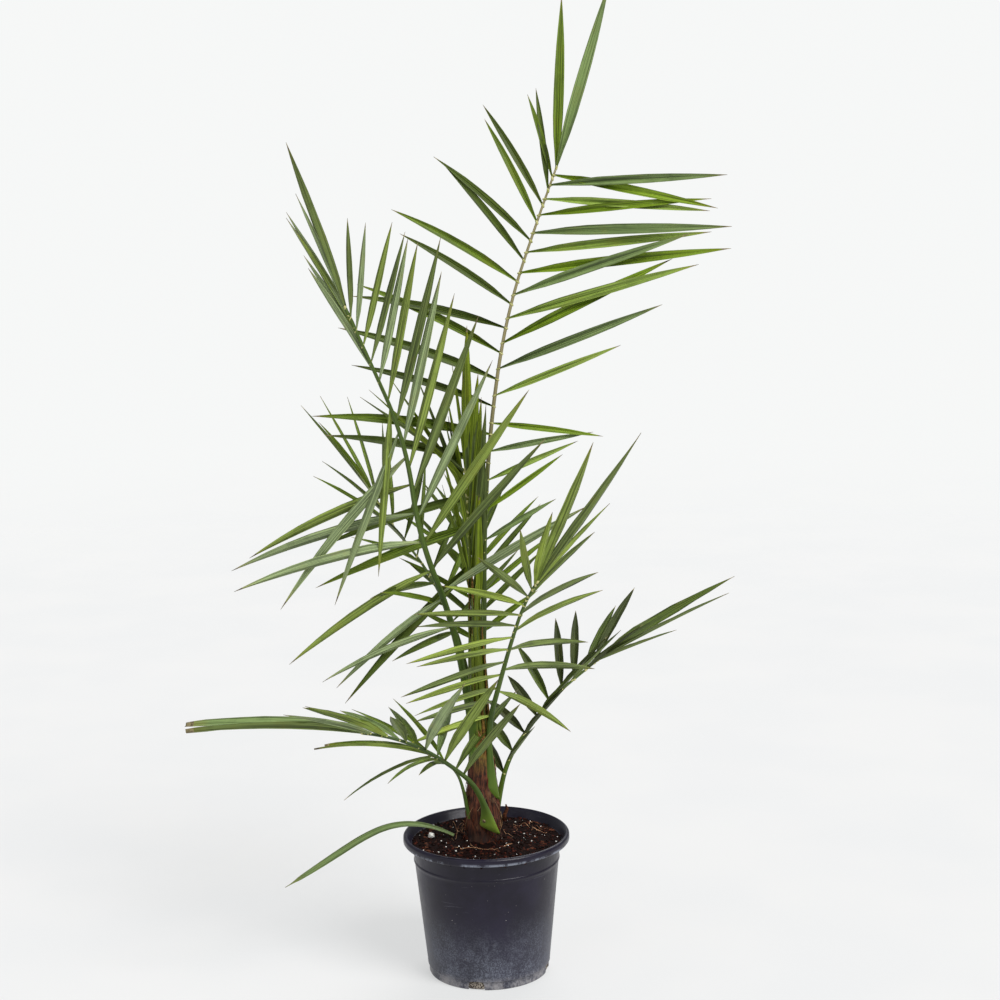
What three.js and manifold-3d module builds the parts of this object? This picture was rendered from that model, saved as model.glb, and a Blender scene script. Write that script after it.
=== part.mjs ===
// A young date palm in a nursery pot.
// Millimetres and degrees, +Z up, the origin at the middle of the pot's flat underside.
import * as THREE from 'three';
import { mergeVertices } from 'three/addons/utils/BufferGeometryUtils.js';
import Module from 'manifold-3d';

const wasm = await Module();
wasm.setup();

// ---- Driving sizes ----

const gap = 0.3; // between pieces that touch

const pot = {
  height: 206,
  rimRadius: 120,
  shoulderRadius: 107,
  footRadius: 88.5,
  footHeight: 12,
  footStep: 1.6,
  wall: 2.2,
  floor: 3,
  lipHeight: 11.5,
  lipFold: 5.5,
  beadHeight: 169,
  beadSize: 1.1,
  facets: 44,
  drains: 4,
  drainWidth: 24,
  drainHeight: 14,
  drainDepth: 14,
  drainInset: 3,
  ledge: 0.4,
  ledgeRise: 1.5,
  beadSlope: 2,
  beadBand: 4,
  lipRound: 2,
  lipEdge: 3,
  mouthDrop: 4,
  neckDrop: 8,
  drainTurn: -102,
};

const soil = { top: 196, mound: 2, shoulder: 16, facets: 44 };

const trunk = {
  x: -4,
  y: 0,
  lean: -5,
  top: 500,
  // height above the soil and radius there, from the flared foot to the sheath bundle's tip
  profile: [[0, 29], [14, 27], [54, 25.5], [104, 21], [154, 16], [214, 13], [264, 11], [304, 8]],
  sides: 16,
};

const rachis = {
  sides: 6,
  steps: 10,
  rootDepth: 7.5,
  rootShare: 0.2, // of the length, where the base narrows to the neck
  neckWidth: 9,
  neckDepth: 7,
  tipWidth: 3.4,
  tipDepth: 3,
};

const leaflet = {
  rootWidth: 5,
  rootDepth: 2.6,
  slenderness: 0.066, // greatest width over length
  leastWidth: 10.5,
  thickness: 0.0115, // of the length
  leastThickness: 1.9,
  fold: 0.2, // how far the edges stand above the keel, of the width
  wideAt: 0.3,
  narrowAt: 0.7,
  narrowing: 0.72,
  crowding: 1.3, // leaflets stand closer towards the frond's tip
  lastSeat: 0.985,
  reachSpread: 0.1,
  clearance: 9, // between the middle lines of leaflets of different fronds
  swings: [0, 6, -6, 12, -12, 18, -18, 24, -24],
};

// Every list is read from the frond's root to its tip and runs evenly between its values.
// side: where on the trunk it leaves; clasp: its width there; thick, broad: rachis and leaflets, over the usual;
// heading: where it leans to, in degrees from +X to +Y; lean: from upright; roll: turn of the whole blade;
// spread: a leaflet's angle from the rachis; lift: its angle out of the blade; reach: its length;
// droop: how far its tip sinks; ruffle: how far its neighbours differ; twist: turn of its own face.
// from: the place on the rachis, 0 to 1, where the leaflets of that side begin.
const fronds = [
  {
    name: 'tall_frond', side: 80, seat: 1, height: 430, length: 750, clasp: 15, thick: 0.9,
    heading: [70, 35], lean: [15, 3, 9, 15, 26, 26], roll: [30, 50],
    broad: 1, jitter: 4, seed: 22,
    left: {
      from: 0.24, count: 17, ruffle: 6, twist: 0,
      spread: [128, 95, 80, 72, 76, 68, 56, 36, 22],
      reach: [250, 250, 225, 200, 180, 145], lift: [5, 5, 12, 8, 0], droop: [0.1],
    },
    right: {
      from: 0.24, count: 17, ruffle: 4, twist: 0,
      spread: [58, 50, 92, 56, 60, 64, 68, 72, 78],
      reach: [120, 140, 150, 250, 282, 285, 280, 250, 220], lift: [5, 10], droop: [0.03],
    },
    fork: { half: 7, turn: 11, left: 265, right: 295, droop: 0.03 },
  },
  {
    name: 'left_frond', side: 225, seat: 6, height: 330, length: 675, clasp: 22, thick: 1.25,
    heading: [225, 205], lean: [13, 12, 23, 7, 24, 24], roll: [35],
    broad: 1, jitter: 4, seed: 23,
    left: {
      from: 0.36, count: 14, ruffle: 0, twist: 0,
      spread: [74, 50, 32, 28, 32, 36, 38, 30, 15],
      reach: [225, 250, 275, 270, 255, 215, 190, 160, 130], lift: [16, 30, 40, 44, 40, 25, 10], droop: [0.02],
    },
    right: {
      from: 0.25, count: 14, ruffle: 0, twist: 0,
      spread: [84, 97, 110, 95, 80, 86, 92, 110, 128, 142, 155, 8, 5, 5, 5, 5, 6],
      reach: [170, 195, 255, 262, 270, 210, 200, 190, 160], lift: [-18, -12, -20, -8, -30, -40, 5, 5, 5],
      droop: [0.17, 0.17, 0.02],
    },
    fork: { half: 2, turn: 4, left: 240, right: 170, droop: 0.03 },
  },
  {
    name: 'right_frond', side: 310, seat: 20, height: 259, length: 355, clasp: 24, thick: 1.15,
    heading: [300, 320], lean: [0, -4, 23, 22, 24, 38], roll: [-20],
    broad: 1.35, jitter: 4, seed: 21,
    left: {
      from: 0.46, count: 7, ruffle: 8, twist: 0,
      spread: [96, 80, 66, 58, 40, 14],
      reach: [130, 140, 140, 150, 160], lift: [-10, 10, 30], droop: [0.2, 0.1, 0.02],
    },
    right: {
      from: 0.32, count: 13, ruffle: 4, twist: 0,
      spread: [96, 104, 108, 106, 98, 88, 80, 45, 20],
      reach: [112, 125, 138, 150, 158, 150, 140, 145, 158], lift: [-4, -5, 2, -12], droop: [0.04],
    },
    fork: { half: 8, turn: -2, left: 250, right: 228, droop: -0.1 },
  },
  {
    name: 'low_right_frond', side: 15, seat: 17, height: 222, length: 296, clasp: 13, thick: 0.95,
    heading: [45, 25], lean: [16, 19, 46, 49, 60, 60], roll: [20],
    broad: 1.55, jitter: 4, seed: 14,
    left: {
      from: 0.22, count: 9, ruffle: 4, twist: 0,
      spread: [48, 68, 68, 70, 58, 50, 40, 30, 20],
      reach: [78, 96, 112, 128, 140, 140, 140, 150, 175], lift: [-24, -12, 3, 6, 0], droop: [0.1],
    },
    right: {
      from: 0.22, count: 7, ruffle: 8, twist: 40,
      spread: [40, 28, 24, 25, 22],
      reach: [60, 98, 115, 108, 126], lift: [50, 40, 65, 60, 15], droop: [0.02],
    },
    fork: { half: 3, turn: -10, left: 245, right: 220, droop: 0.03 },
  },
  {
    name: 'low_left_frond', side: 286, seat: 28, height: 212, length: 283, clasp: 34, thick: 1.35,
    heading: [262, 225, 213, 207, 201, 195], lean: [8, 25, 48, 54, 66, 80], roll: [0],
    broad: 1.55, jitter: 4, seed: 14,
    left: {
      from: 0.38, count: 6, ruffle: 0, twist: 30,
      spread: [68, 66, 63, 34, 24],
      reach: [156, 205, 225, 182, 140], lift: [45, 42, 18, 26, 20], droop: [0.03],
    },
    right: {
      from: 0.38, count: 6, ruffle: 0, twist: 30,
      spread: [108, 106, 78, 48, 30],
      reach: [190, 170, 110, 115, 160], lift: [65, 48, 5, 8, 0], droop: [0.08],
    },
    fork: { half: 6, turn: -14, left: 243, right: 250, droop: 0.12 },
  },
  {
    name: 'back_left_frond', side: 145, seat: 4, height: 372, length: 363, clasp: 14, thick: 0.85,
    heading: [140, 150], lean: [15, 16, 31, 46, 34], roll: [0],
    broad: 1, jitter: 4, seed: 13,
    left: {
      from: 0.35, count: 8, ruffle: 6, twist: 0,
      spread: [85, 75, 65, 30],
      reach: [165, 180, 185, 165], lift: [5, 15, 35], droop: [0.08],
    },
    right: {
      from: 0.35, count: 8, ruffle: 6, twist: 0,
      spread: [65, 50, 40, 24],
      reach: [165, 170, 150, 155], lift: [25, 35, 30], droop: [0],
    },
    fork: { half: 9, turn: 6, left: 170, right: 172, droop: 0 },
  },
  {
    name: 'spear_frond', side: 100, seat: 0, height: 500.3, length: 235, clasp: 9, thick: 0.8,
    heading: [150], lean: [14, 2, 1, 4], roll: [60],
    broad: 1.4, jitter: 4, seed: 7,
    left: {
      from: 0.08, count: 9, ruffle: 0, twist: 20,
      spread: [22, 14, 10, 8, 6],
      reach: [190, 225, 180, 150], lift: [10, 0], droop: [0],
    },
    right: {
      from: 0.08, count: 9, ruffle: 0, twist: 20,
      spread: [14, 10, 10, 30, 48],
      reach: [180, 200, 210, 200], lift: [0, -10, -30, -60], droop: [0],
    },
    fork: { half: 7, turn: 2, left: 205, right: 150, droop: 0 },
  },
  {
    name: 'second_low_left_frond', side: 215, seat: 20, height: 226, length: 126, clasp: 14, thick: 1,
    heading: [200, 185], lean: [21, 8, 17, 48, 70], roll: [0],
    broad: 1.2, jitter: 4, seed: 12,
    left: {
      from: 0.72, count: 3, ruffle: 0, twist: 30,
      spread: [55, 36],
      reach: [120, 165], lift: [10, -45], droop: [0.25],
    },
    right: {
      from: 0.72, count: 2, ruffle: 0, twist: 30,
      spread: [50, 35],
      reach: [120, 140], lift: [30, 10], droop: [0.1],
    },
    fork: { half: 4, turn: 3, left: 175, right: 158, droop: 0.22 },
  },
  {
    name: 'back_frond', side: 90, seat: 4, height: 345, length: 320, clasp: 14, thick: 0.85,
    heading: [85, 100], lean: [14, 22, 38, 55], roll: [0],
    broad: 1, jitter: 6, seed: 9,
    left: {
      from: 0.42, count: 8, ruffle: 5, twist: 0,
      spread: [60, 50, 38, 22],
      reach: [110, 150, 150, 110], lift: [20], droop: [0.05],
    },
    right: {
      from: 0.42, count: 8, ruffle: 5, twist: 0,
      spread: [60, 50, 38, 22],
      reach: [110, 150, 150, 110], lift: [20], droop: [0.05],
    },
    fork: { half: 7, turn: 0, left: 140, right: 125, droop: 0.03 },
  },
];

// The single leaf of the seedling, which hangs over the pot's lip.
const seedling = {
  name: 'seedling_leaf', side: 168, seat: 44, height: 198, length: 278,
  heading: [172, 180], lean: [64, 78, 98, 116, 123, 123, 122, 120], roll: [-25, -40],
  width: 14, depth: 3, steps: 12,
  leastShare: 0.3,
  rootShare: 0.08,
  fullness: 1.2,
};

// ---- Numbers ----

const radians = THREE.MathUtils.degToRad;
const upward = new THREE.Vector3(0, 0, 1);

// The value of an evenly spaced list at a place from 0 to 1.
function along(list, place) {
  const at = THREE.MathUtils.clamp(place, 0, 1) * (list.length - 1);
  const index = Math.min(Math.floor(at), list.length - 2);
  if (list.length === 1) return list[0];
  return THREE.MathUtils.lerp(list[index], list[index + 1], at - index);
}

// A seeded die, from -1 to 1.
function dice(seed) {
  let state = (Math.imul(seed, 2654435761) + 12345) >>> 0;
  return () => {
    state = (Math.imul(state, 1664525) + 1013904223) >>> 0;
    return (2 * state) / 4294967296 - 1;
  };
}

// ---- Solids ----

function toSolid(geometry) {
  const bare = geometry.clone();
  bare.deleteAttribute('normal');
  bare.deleteAttribute('uv');
  const merged = mergeVertices(bare, 1e-4);
  return new wasm.Manifold(new wasm.Mesh({
    numProp: 3,
    vertProperties: new Float32Array(merged.attributes.position.array),
    triVerts: new Uint32Array(merged.index.array),
  }));
}

function toGeometry(solid) {
  const mesh = solid.getMesh();
  const geometry = new THREE.BufferGeometry();
  geometry.setAttribute('position', new THREE.BufferAttribute(mesh.vertProperties, 3));
  geometry.setIndex(new THREE.BufferAttribute(mesh.triVerts, 1));
  return geometry;
}

// The largest body of a solid, without the scraps that a cut leaves.
function mainBody(solid) {
  const bodies = solid.decompose();
  return bodies.reduce((best, body) => (body.volume() > best.volume() ? body : best));
}

// A closed skin over rings of the same number of points, ending flat or in a point.
function skin(rings, tip) {
  const count = rings[0].length;
  const points = tip ? [...rings.flat(), tip] : rings.flat();
  const faces = [];
  for (let r = 0; r + 1 < rings.length; r += 1) {
    for (let i = 0; i < count; i += 1) {
      const here = r * count + i;
      const next = r * count + ((i + 1) % count);
      faces.push(here, next, next + count, here, next + count, here + count);
    }
  }
  const last = (rings.length - 1) * count;
  for (let i = 1; i + 1 < count; i += 1) {
    faces.push(0, i + 1, i);
    if (!tip) faces.push(last, last + i, last + i + 1);
  }
  for (let i = 0; tip && i < count; i += 1) {
    faces.push(last + i, last + ((i + 1) % count), last + count);
  }
  const geometry = new THREE.BufferGeometry().setFromPoints(points);
  geometry.setIndex(faces);
  return geometry;
}

// ---- Pot and soil ----

function turned(points, facets) {
  return new THREE.LatheGeometry(points.map(([r, z]) => new THREE.Vector2(r, z)), facets)
    .rotateX(Math.PI / 2);
}

function outerRadius(z) {
  const slope = (pot.shoulderRadius - pot.footRadius) / (pot.height - pot.lipHeight - pot.footHeight);
  return pot.footRadius + slope * Math.max(z - pot.footHeight, 0);
}

function makePot() {
  const lipLow = pot.height - pot.lipHeight;
  const lipInner = pot.rimRadius - pot.lipFold;
  const outer = [
    [0, 0],
    [pot.footRadius - pot.footStep, 0],
    [pot.footRadius - pot.footStep, pot.footHeight],
    [pot.footRadius + pot.ledge, pot.footHeight + pot.ledgeRise],
    [outerRadius(pot.beadHeight - pot.beadSlope), pot.beadHeight - pot.beadSlope],
    [outerRadius(pot.beadHeight) + pot.beadSize, pot.beadHeight],
    [outerRadius(pot.beadHeight + pot.beadBand) + pot.beadSize, pot.beadHeight + pot.beadBand],
    [lipInner - pot.mouthDrop, lipLow],
    [pot.rimRadius - pot.lipRound, lipLow],
    [pot.rimRadius, lipLow + pot.lipRound],
    [pot.rimRadius, pot.height - pot.lipEdge],
    [pot.rimRadius - pot.lipEdge, pot.height],
  ];
  const inner = [
    [lipInner, pot.height],
    [lipInner - pot.mouthDrop, pot.height - pot.mouthDrop],
    [outerRadius(lipLow - pot.neckDrop) - pot.wall, lipLow - pot.neckDrop],
    [pot.footRadius - pot.footStep - pot.wall, pot.footHeight],
    [pot.footRadius - pot.footStep - pot.wall, pot.floor],
    [0, pot.floor],
  ];
  let solid = toSolid(turned([...outer, ...inner], pot.facets));
  for (let i = 0; i < pot.drains; i += 1) {
    const turn = radians(pot.drainTurn + (360 / pot.drains) * i);
    const slot = new THREE.BoxGeometry(pot.drainDepth, pot.drainWidth, pot.drainHeight * 2)
      .translate(pot.footRadius - pot.drainInset, 0, 0)
      .rotateZ(turn);
    solid = solid.subtract(toSolid(slot));
  }
  return solid;
}

function makeSoil() {
  const { top, mound } = soil;
  const neck = outerRadius(pot.height - pot.lipHeight - pot.neckDrop);
  const wallAt = (z) => Math.min(outerRadius(z), neck) - pot.wall - gap;
  const profile = [
    [0, pot.floor + gap],
    [pot.footRadius - pot.footStep - pot.wall - gap, pot.floor + gap],
    [pot.footRadius - pot.footStep - pot.wall - gap, pot.footHeight],
    [wallAt(top - mound), top - mound],
    [wallAt(top) - soil.shoulder, top],
    [0, top],
  ];
  return toSolid(turned(profile, soil.facets));
}

// ---- Trunk ----

function makeTrunk(extra) {
  const foot = soil.top + gap;
  const height = trunk.top - soil.top;
  const rings = trunk.profile.map(([rise, radius], index) => {
    const share = rise / height;
    const last = index === trunk.profile.length - 1;
    const z = foot + rise - (last ? gap : 0) + (last ? extra : 0) - (index === 0 ? extra : 0);
    const ring = [];
    for (let i = 0; i < trunk.sides; i += 1) {
      const angle = (2 * Math.PI * i) / trunk.sides;
      ring.push(new THREE.Vector3(
        trunk.x + trunk.lean * share * share + (radius + extra) * Math.cos(angle),
        trunk.y + (radius + extra) * Math.sin(angle),
        z,
      ));
    }
    return ring;
  });
  return toSolid(skin(rings));
}

// ---- Fronds ----

// Which way the frond runs, its left side and its upper face, at a place from 0 to 1.
function directions(frond, place) {
  const lean = radians(along(frond.lean, place));
  const heading = radians(along(frond.heading, place));
  const roll = radians(along(frond.roll, place));
  const ahead = new THREE.Vector3(
    Math.sin(lean) * Math.cos(heading),
    Math.sin(lean) * Math.sin(heading),
    Math.cos(lean),
  );
  const level = new THREE.Vector3(-Math.sin(heading), Math.cos(heading), 0);
  const left = level.clone().applyAxisAngle(ahead, roll);
  const face = new THREE.Vector3().crossVectors(ahead, left);
  return { ahead, left, face };
}

// Points along the middle of the stalk and rachis.
function middleLine(frond, steps) {
  const side = radians(frond.side);
  const point = new THREE.Vector3(
    trunk.x + frond.seat * Math.cos(side),
    trunk.y + frond.seat * Math.sin(side),
    frond.height,
  );
  const points = [point.clone()];
  for (let i = 0; i < steps; i += 1) {
    const { ahead } = directions(frond, (i + 0.5) / steps);
    point.addScaledVector(ahead, frond.length / steps);
    points.push(point.clone());
  }
  return points;
}

const fineSteps = 48;

function pointAt(line, place) {
  const at = THREE.MathUtils.clamp(place, 0, 1) * (line.length - 1);
  const index = Math.min(Math.floor(at), line.length - 2);
  return line[index].clone().lerp(line[index + 1], at - index);
}

// The rachis narrows evenly to its tip, and its base flares where it clasps the trunk.
function rachisSize(frond, place) {
  const { lerp } = THREE.MathUtils;
  const flare = Math.max(0, 1 - place / rachis.rootShare) ** 1.5;
  const width = lerp(rachis.neckWidth, rachis.tipWidth, place) * frond.thick;
  const depth = lerp(rachis.neckDepth, rachis.tipDepth, place) * frond.thick;
  return {
    width: lerp(width, frond.clasp, flare),
    depth: lerp(depth, rachis.rootDepth * frond.thick, flare),
  };
}

// The stalk and rachis as one solid, grown by an extra skin where a neighbour is cut to it.
function makeRachis(frond, line, extra) {
  const rings = [];
  for (let i = 0; i <= rachis.steps; i += 1) {
    const place = i / rachis.steps;
    const { left, face } = directions(frond, place);
    const centre = pointAt(line, place);
    const { width, depth } = rachisSize(frond, place);
    const ring = [];
    for (let k = 0; k < rachis.sides; k += 1) {
      const angle = (2 * Math.PI * k) / rachis.sides;
      ring.push(centre.clone()
        .addScaledVector(left, Math.cos(angle) * (width / 2 + extra))
        .addScaledVector(face, Math.sin(angle) * (depth / 2 + extra)));
    }
    rings.push(ring);
  }
  return toSolid(skin(rings));
}

// Where a leaflet starts, the way it goes and the way it faces.
function leafletPath(frond, line, plan, swing) {
  const { ahead, left, face } = directions(frond, plan.place);
  const spread = radians(plan.spread);
  const lift = radians(plan.lift + swing);
  const outward = left.clone().multiplyScalar(plan.hand * Math.cos(lift))
    .addScaledVector(face, Math.sin(lift));
  const way = ahead.clone().multiplyScalar(Math.cos(spread)).addScaledVector(outward, Math.sin(spread));
  return {
    root: pointAt(line, plan.place),
    way,
    face: face.clone().applyAxisAngle(way, radians(plan.hand * plan.twist)),
    reach: plan.reach,
    droop: plan.droop,
    broad: frond.broad,
  };
}

function pathPoint(path, share) {
  return path.root.clone()
    .addScaledVector(path.way, path.reach * share)
    .addScaledVector(upward, -path.droop * path.reach * share * share);
}

// The leaflets of one side of a frond, from its root to its tip.
function sidePlans(frond, sizes, hand, roll) {
  const plans = [];
  for (let i = 0; i < sizes.count; i += 1) {
    const order = (i + (hand > 0 ? 0.1 : 0.5)) / (sizes.count - 0.4);
    const share = 1 - (1 - order) ** leaflet.crowding;
    const place = THREE.MathUtils.lerp(sizes.from, leaflet.lastSeat, share);
    const ruffle = (i % 2 === 0 ? 1 : -1) * sizes.ruffle;
    const spread = along(sizes.spread, order) + ruffle + frond.jitter * roll();
    const reach = along(sizes.reach, order) * (1 + leaflet.reachSpread * roll());
    const lift = along(sizes.lift, order) + frond.jitter * roll();
    const droop = along(sizes.droop, order);
    plans.push({ place, hand, spread, reach, lift, droop, twist: sizes.twist });
  }
  return plans;
}

// Every leaflet of a frond, the two long end ones last.
function leafletPlans(frond) {
  const roll = dice(frond.seed);
  const { half, turn, left, right, droop } = frond.fork;
  const end = { place: 1, lift: 0, droop };
  return [
    ...sidePlans(frond, frond.left, 1, roll),
    ...sidePlans(frond, frond.right, -1, roll),
    { ...end, hand: 1, spread: half + turn, reach: left, twist: frond.left.twist },
    { ...end, hand: -1, spread: half - turn, reach: right, twist: frond.right.twist },
  ];
}

// How near a path comes to the points already taken by other fronds.
function nearest(path, taken) {
  let least = Infinity;
  for (let share = 0.1; share <= 1.001; share += 0.1) {
    const point = pathPoint(path, share);
    for (const other of taken) least = Math.min(least, point.distanceToSquared(other));
  }
  return Math.sqrt(least);
}

// A lance-shaped leaflet folded upwards along its middle.
function makeLeaflet(path) {
  const wide = Math.max(path.reach * leaflet.slenderness, leaflet.leastWidth) * path.broad;
  const thick = Math.max(path.reach * leaflet.thickness, leaflet.leastThickness);
  const stations = [
    [0, leaflet.rootWidth, leaflet.rootDepth],
    [leaflet.wideAt, wide, thick],
    [leaflet.narrowAt, wide * leaflet.narrowing, thick],
  ];
  const rings = stations.map(([share, width, depth]) => {
    const centre = pathPoint(path, share);
    const ahead = path.way.clone().addScaledVector(upward, -2 * path.droop * share).normalize();
    const across = new THREE.Vector3().crossVectors(path.face, ahead).normalize();
    const up = new THREE.Vector3().crossVectors(ahead, across);
    const fold = width * leaflet.fold;
    return [
      centre.clone().addScaledVector(across, width / 2).addScaledVector(up, fold),
      centre.clone().addScaledVector(up, depth / 2),
      centre.clone().addScaledVector(across, -width / 2).addScaledVector(up, fold),
      centre.clone().addScaledVector(up, -depth / 2),
    ];
  });
  return toSolid(skin(rings, pathPoint(path, 1)));
}

function makeFrond(frond, world) {
  const line = middleLine(frond, fineSteps);
  const thickened = makeRachis(frond, line, gap);
  let solid = makeRachis(frond, line, 0);
  for (const stalk of world.stalks) solid = solid.subtract(stalk);
  solid = mainBody(solid.subtract(world.trunk));
  const own = [...line];
  for (const plan of leafletPlans(frond)) {
    const swings = leaflet.swings.map((swing) => leafletPath(frond, line, plan, swing));
    const free = swings.find((path) => nearest(path, world.taken) > leaflet.clearance);
    const path = free ?? swings.reduce((best, next) => (
      nearest(next, world.taken) > nearest(best, world.taken) ? next : best));
    for (let share = 0.1; share <= 1.001; share += 0.1) own.push(pathPoint(path, share));
    const blade = makeLeaflet(path);
    if (world.solids.every((other) => blade.minGap(other, 2 * gap) > gap)) solid = solid.add(blade);
  }
  world.stalks.push(thickened);
  world.taken.push(...own);
  solid = mainBody(solid);
  world.solids.push(solid);
  return solid;
}

// The seedling's plain leaf is one blade that widens from a narrow root and ends in a point.
function makeSeedling(world) {
  const line = middleLine(seedling, fineSteps);
  const rings = [];
  for (let i = 0; i <= seedling.steps; i += 1) {
    const place = i / seedling.steps;
    const { left, face } = directions(seedling, place);
    const centre = pointAt(line, place);
    const width = seedling.width * Math.max(
      seedling.leastShare,
      Math.sin(Math.PI * (seedling.rootShare + (1 - seedling.rootShare) * place ** seedling.fullness)),
    );
    const half = seedling.depth / 2;
    rings.push([
      centre.clone().addScaledVector(left, width / 2).addScaledVector(face, half * 0.7),
      centre.clone().addScaledVector(face, half),
      centre.clone().addScaledVector(left, -width / 2).addScaledVector(face, half * 0.7),
      centre.clone().addScaledVector(face, -half),
    ]);
  }
  return mainBody(toSolid(skin(rings)).subtract(world.trunk));
}

// ---- Colours ----

function finish(color, roughness) {
  return new THREE.MeshStandardMaterial({ color, roughness, metalness: 0 });
}

const plastic = finish('#2a2a33', 0.45);
const peat = finish('#2e1f18', 0.95);
const fibre = finish('#6e4430', 0.9);
const leafGreens = [
  '#4f6b2a', '#5a7a4a', '#5d7d2e', '#3f5630', '#4a6236', '#46603a', '#7d9630', '#4c6340', '#446030',
];

// ---- The plant ----

const palm = new THREE.Group();

function place(name, solid, material) {
  const mesh = new THREE.Mesh(toGeometry(solid), material);
  mesh.name = name;
  palm.add(mesh);
}

const potSolid = makePot();
const soilSolid = makeSoil();
const trunkSolid = makeTrunk(0);
place('pot', potSolid, plastic);
place('soil', soilSolid, peat);
place('trunk', trunkSolid, fibre);

const world = {
  trunk: makeTrunk(gap),
  stalks: [],
  taken: [],
  solids: [potSolid, soilSolid, trunkSolid],
};
const seedlingSolid = makeSeedling(world);
world.solids.push(seedlingSolid);
fronds.forEach((frond, index) => {
  place(frond.name, makeFrond(frond, world), finish(leafGreens[index], 0.5));
});
place(seedling.name, seedlingSolid, finish('#5f7d35', 0.5));

export default palm;
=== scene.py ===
# A young date palm in a nursery pot: leaves, stalks, fibre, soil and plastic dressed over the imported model.
from math import copysign, cos, floor, pi, radians, sin, sqrt

import bmesh
import bpy
import numpy as np
from mathutils import Euler, Matrix, Quaternion, Vector, noise


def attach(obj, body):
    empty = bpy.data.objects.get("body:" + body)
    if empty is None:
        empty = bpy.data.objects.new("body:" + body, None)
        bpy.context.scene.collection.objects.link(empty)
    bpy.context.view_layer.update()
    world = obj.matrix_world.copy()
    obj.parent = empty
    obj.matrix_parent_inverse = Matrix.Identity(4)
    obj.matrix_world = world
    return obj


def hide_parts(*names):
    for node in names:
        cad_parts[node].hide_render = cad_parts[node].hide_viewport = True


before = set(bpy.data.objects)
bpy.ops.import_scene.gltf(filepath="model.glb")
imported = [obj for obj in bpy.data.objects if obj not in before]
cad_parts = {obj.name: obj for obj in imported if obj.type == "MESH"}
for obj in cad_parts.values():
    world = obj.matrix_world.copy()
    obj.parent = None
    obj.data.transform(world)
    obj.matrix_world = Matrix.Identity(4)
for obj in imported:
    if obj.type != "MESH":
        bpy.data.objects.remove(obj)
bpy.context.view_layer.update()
for startUpObject in ("Cube", "Light", "Camera"):
    if startUpObject in bpy.data.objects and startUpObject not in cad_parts:
        bpy.data.objects.remove(bpy.data.objects[startUpObject])
bpy.context.scene.view_settings.view_transform = "Standard"

mm = 0.001
upward = Vector((0, 0, 1))


def along(values, place):  # an evenly spaced list read at a place from 0 to 1
    if len(values) == 1:
        return values[0]
    at = min(max(place, 0), 1) * (len(values) - 1)
    index = min(floor(at), len(values) - 2)
    return values[index] + (values[index + 1] - values[index]) * (at - index)


def dice(seed):  # a seeded die, from -1 to 1
    state = (seed * 2654435761 + 12345) & 0xFFFFFFFF

    def roll():
        nonlocal state
        state = (state * 1664525 + 1013904223) & 0xFFFFFFFF
        return 2 * state / 4294967296 - 1

    return roll


def blendOf(low, high, share):
    return low + (high - low) * share


def smooth(low, high, value):  # an eased step from 0 to 1
    share = min(max((value - low) / (high - low), 0), 1)
    return share * share * (3 - 2 * share)


def circle(count):  # that many angles, evenly round
    return [2 * pi * k / count for k in range(count)]


def compass(angle):  # the level way out at an angle, and the level way square to it
    return Vector((cos(angle), sin(angle), 0)), Vector((-sin(angle), cos(angle), 0))


class Wire:  # one socket of a tree; arithmetic on it adds the matching node
    def __init__(self, maker, socket):
        self.maker = maker
        self.socket = socket

    def also(self, name):  # another output of the same node
        return Wire(self.maker, self.maker.find(self.socket.node.outputs, name))


def arithmetic(operation, swapped):
    def joined(self, other):
        first, second = (other, self) if swapped else (self, other)
        return self.maker.combineTwo(operation, first, second)

    return joined


for sign, operation in (("add", "ADD"), ("sub", "SUBTRACT"), ("mul", "MULTIPLY")):
    setattr(Wire, f"__{sign}__", arithmetic(operation, False))
    setattr(Wire, f"__r{sign}__", arithmetic(operation, True))


def isVector(value):
    if isinstance(value, Wire):
        return value.socket.type == "VECTOR"
    return isinstance(value, (tuple, Vector))


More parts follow.
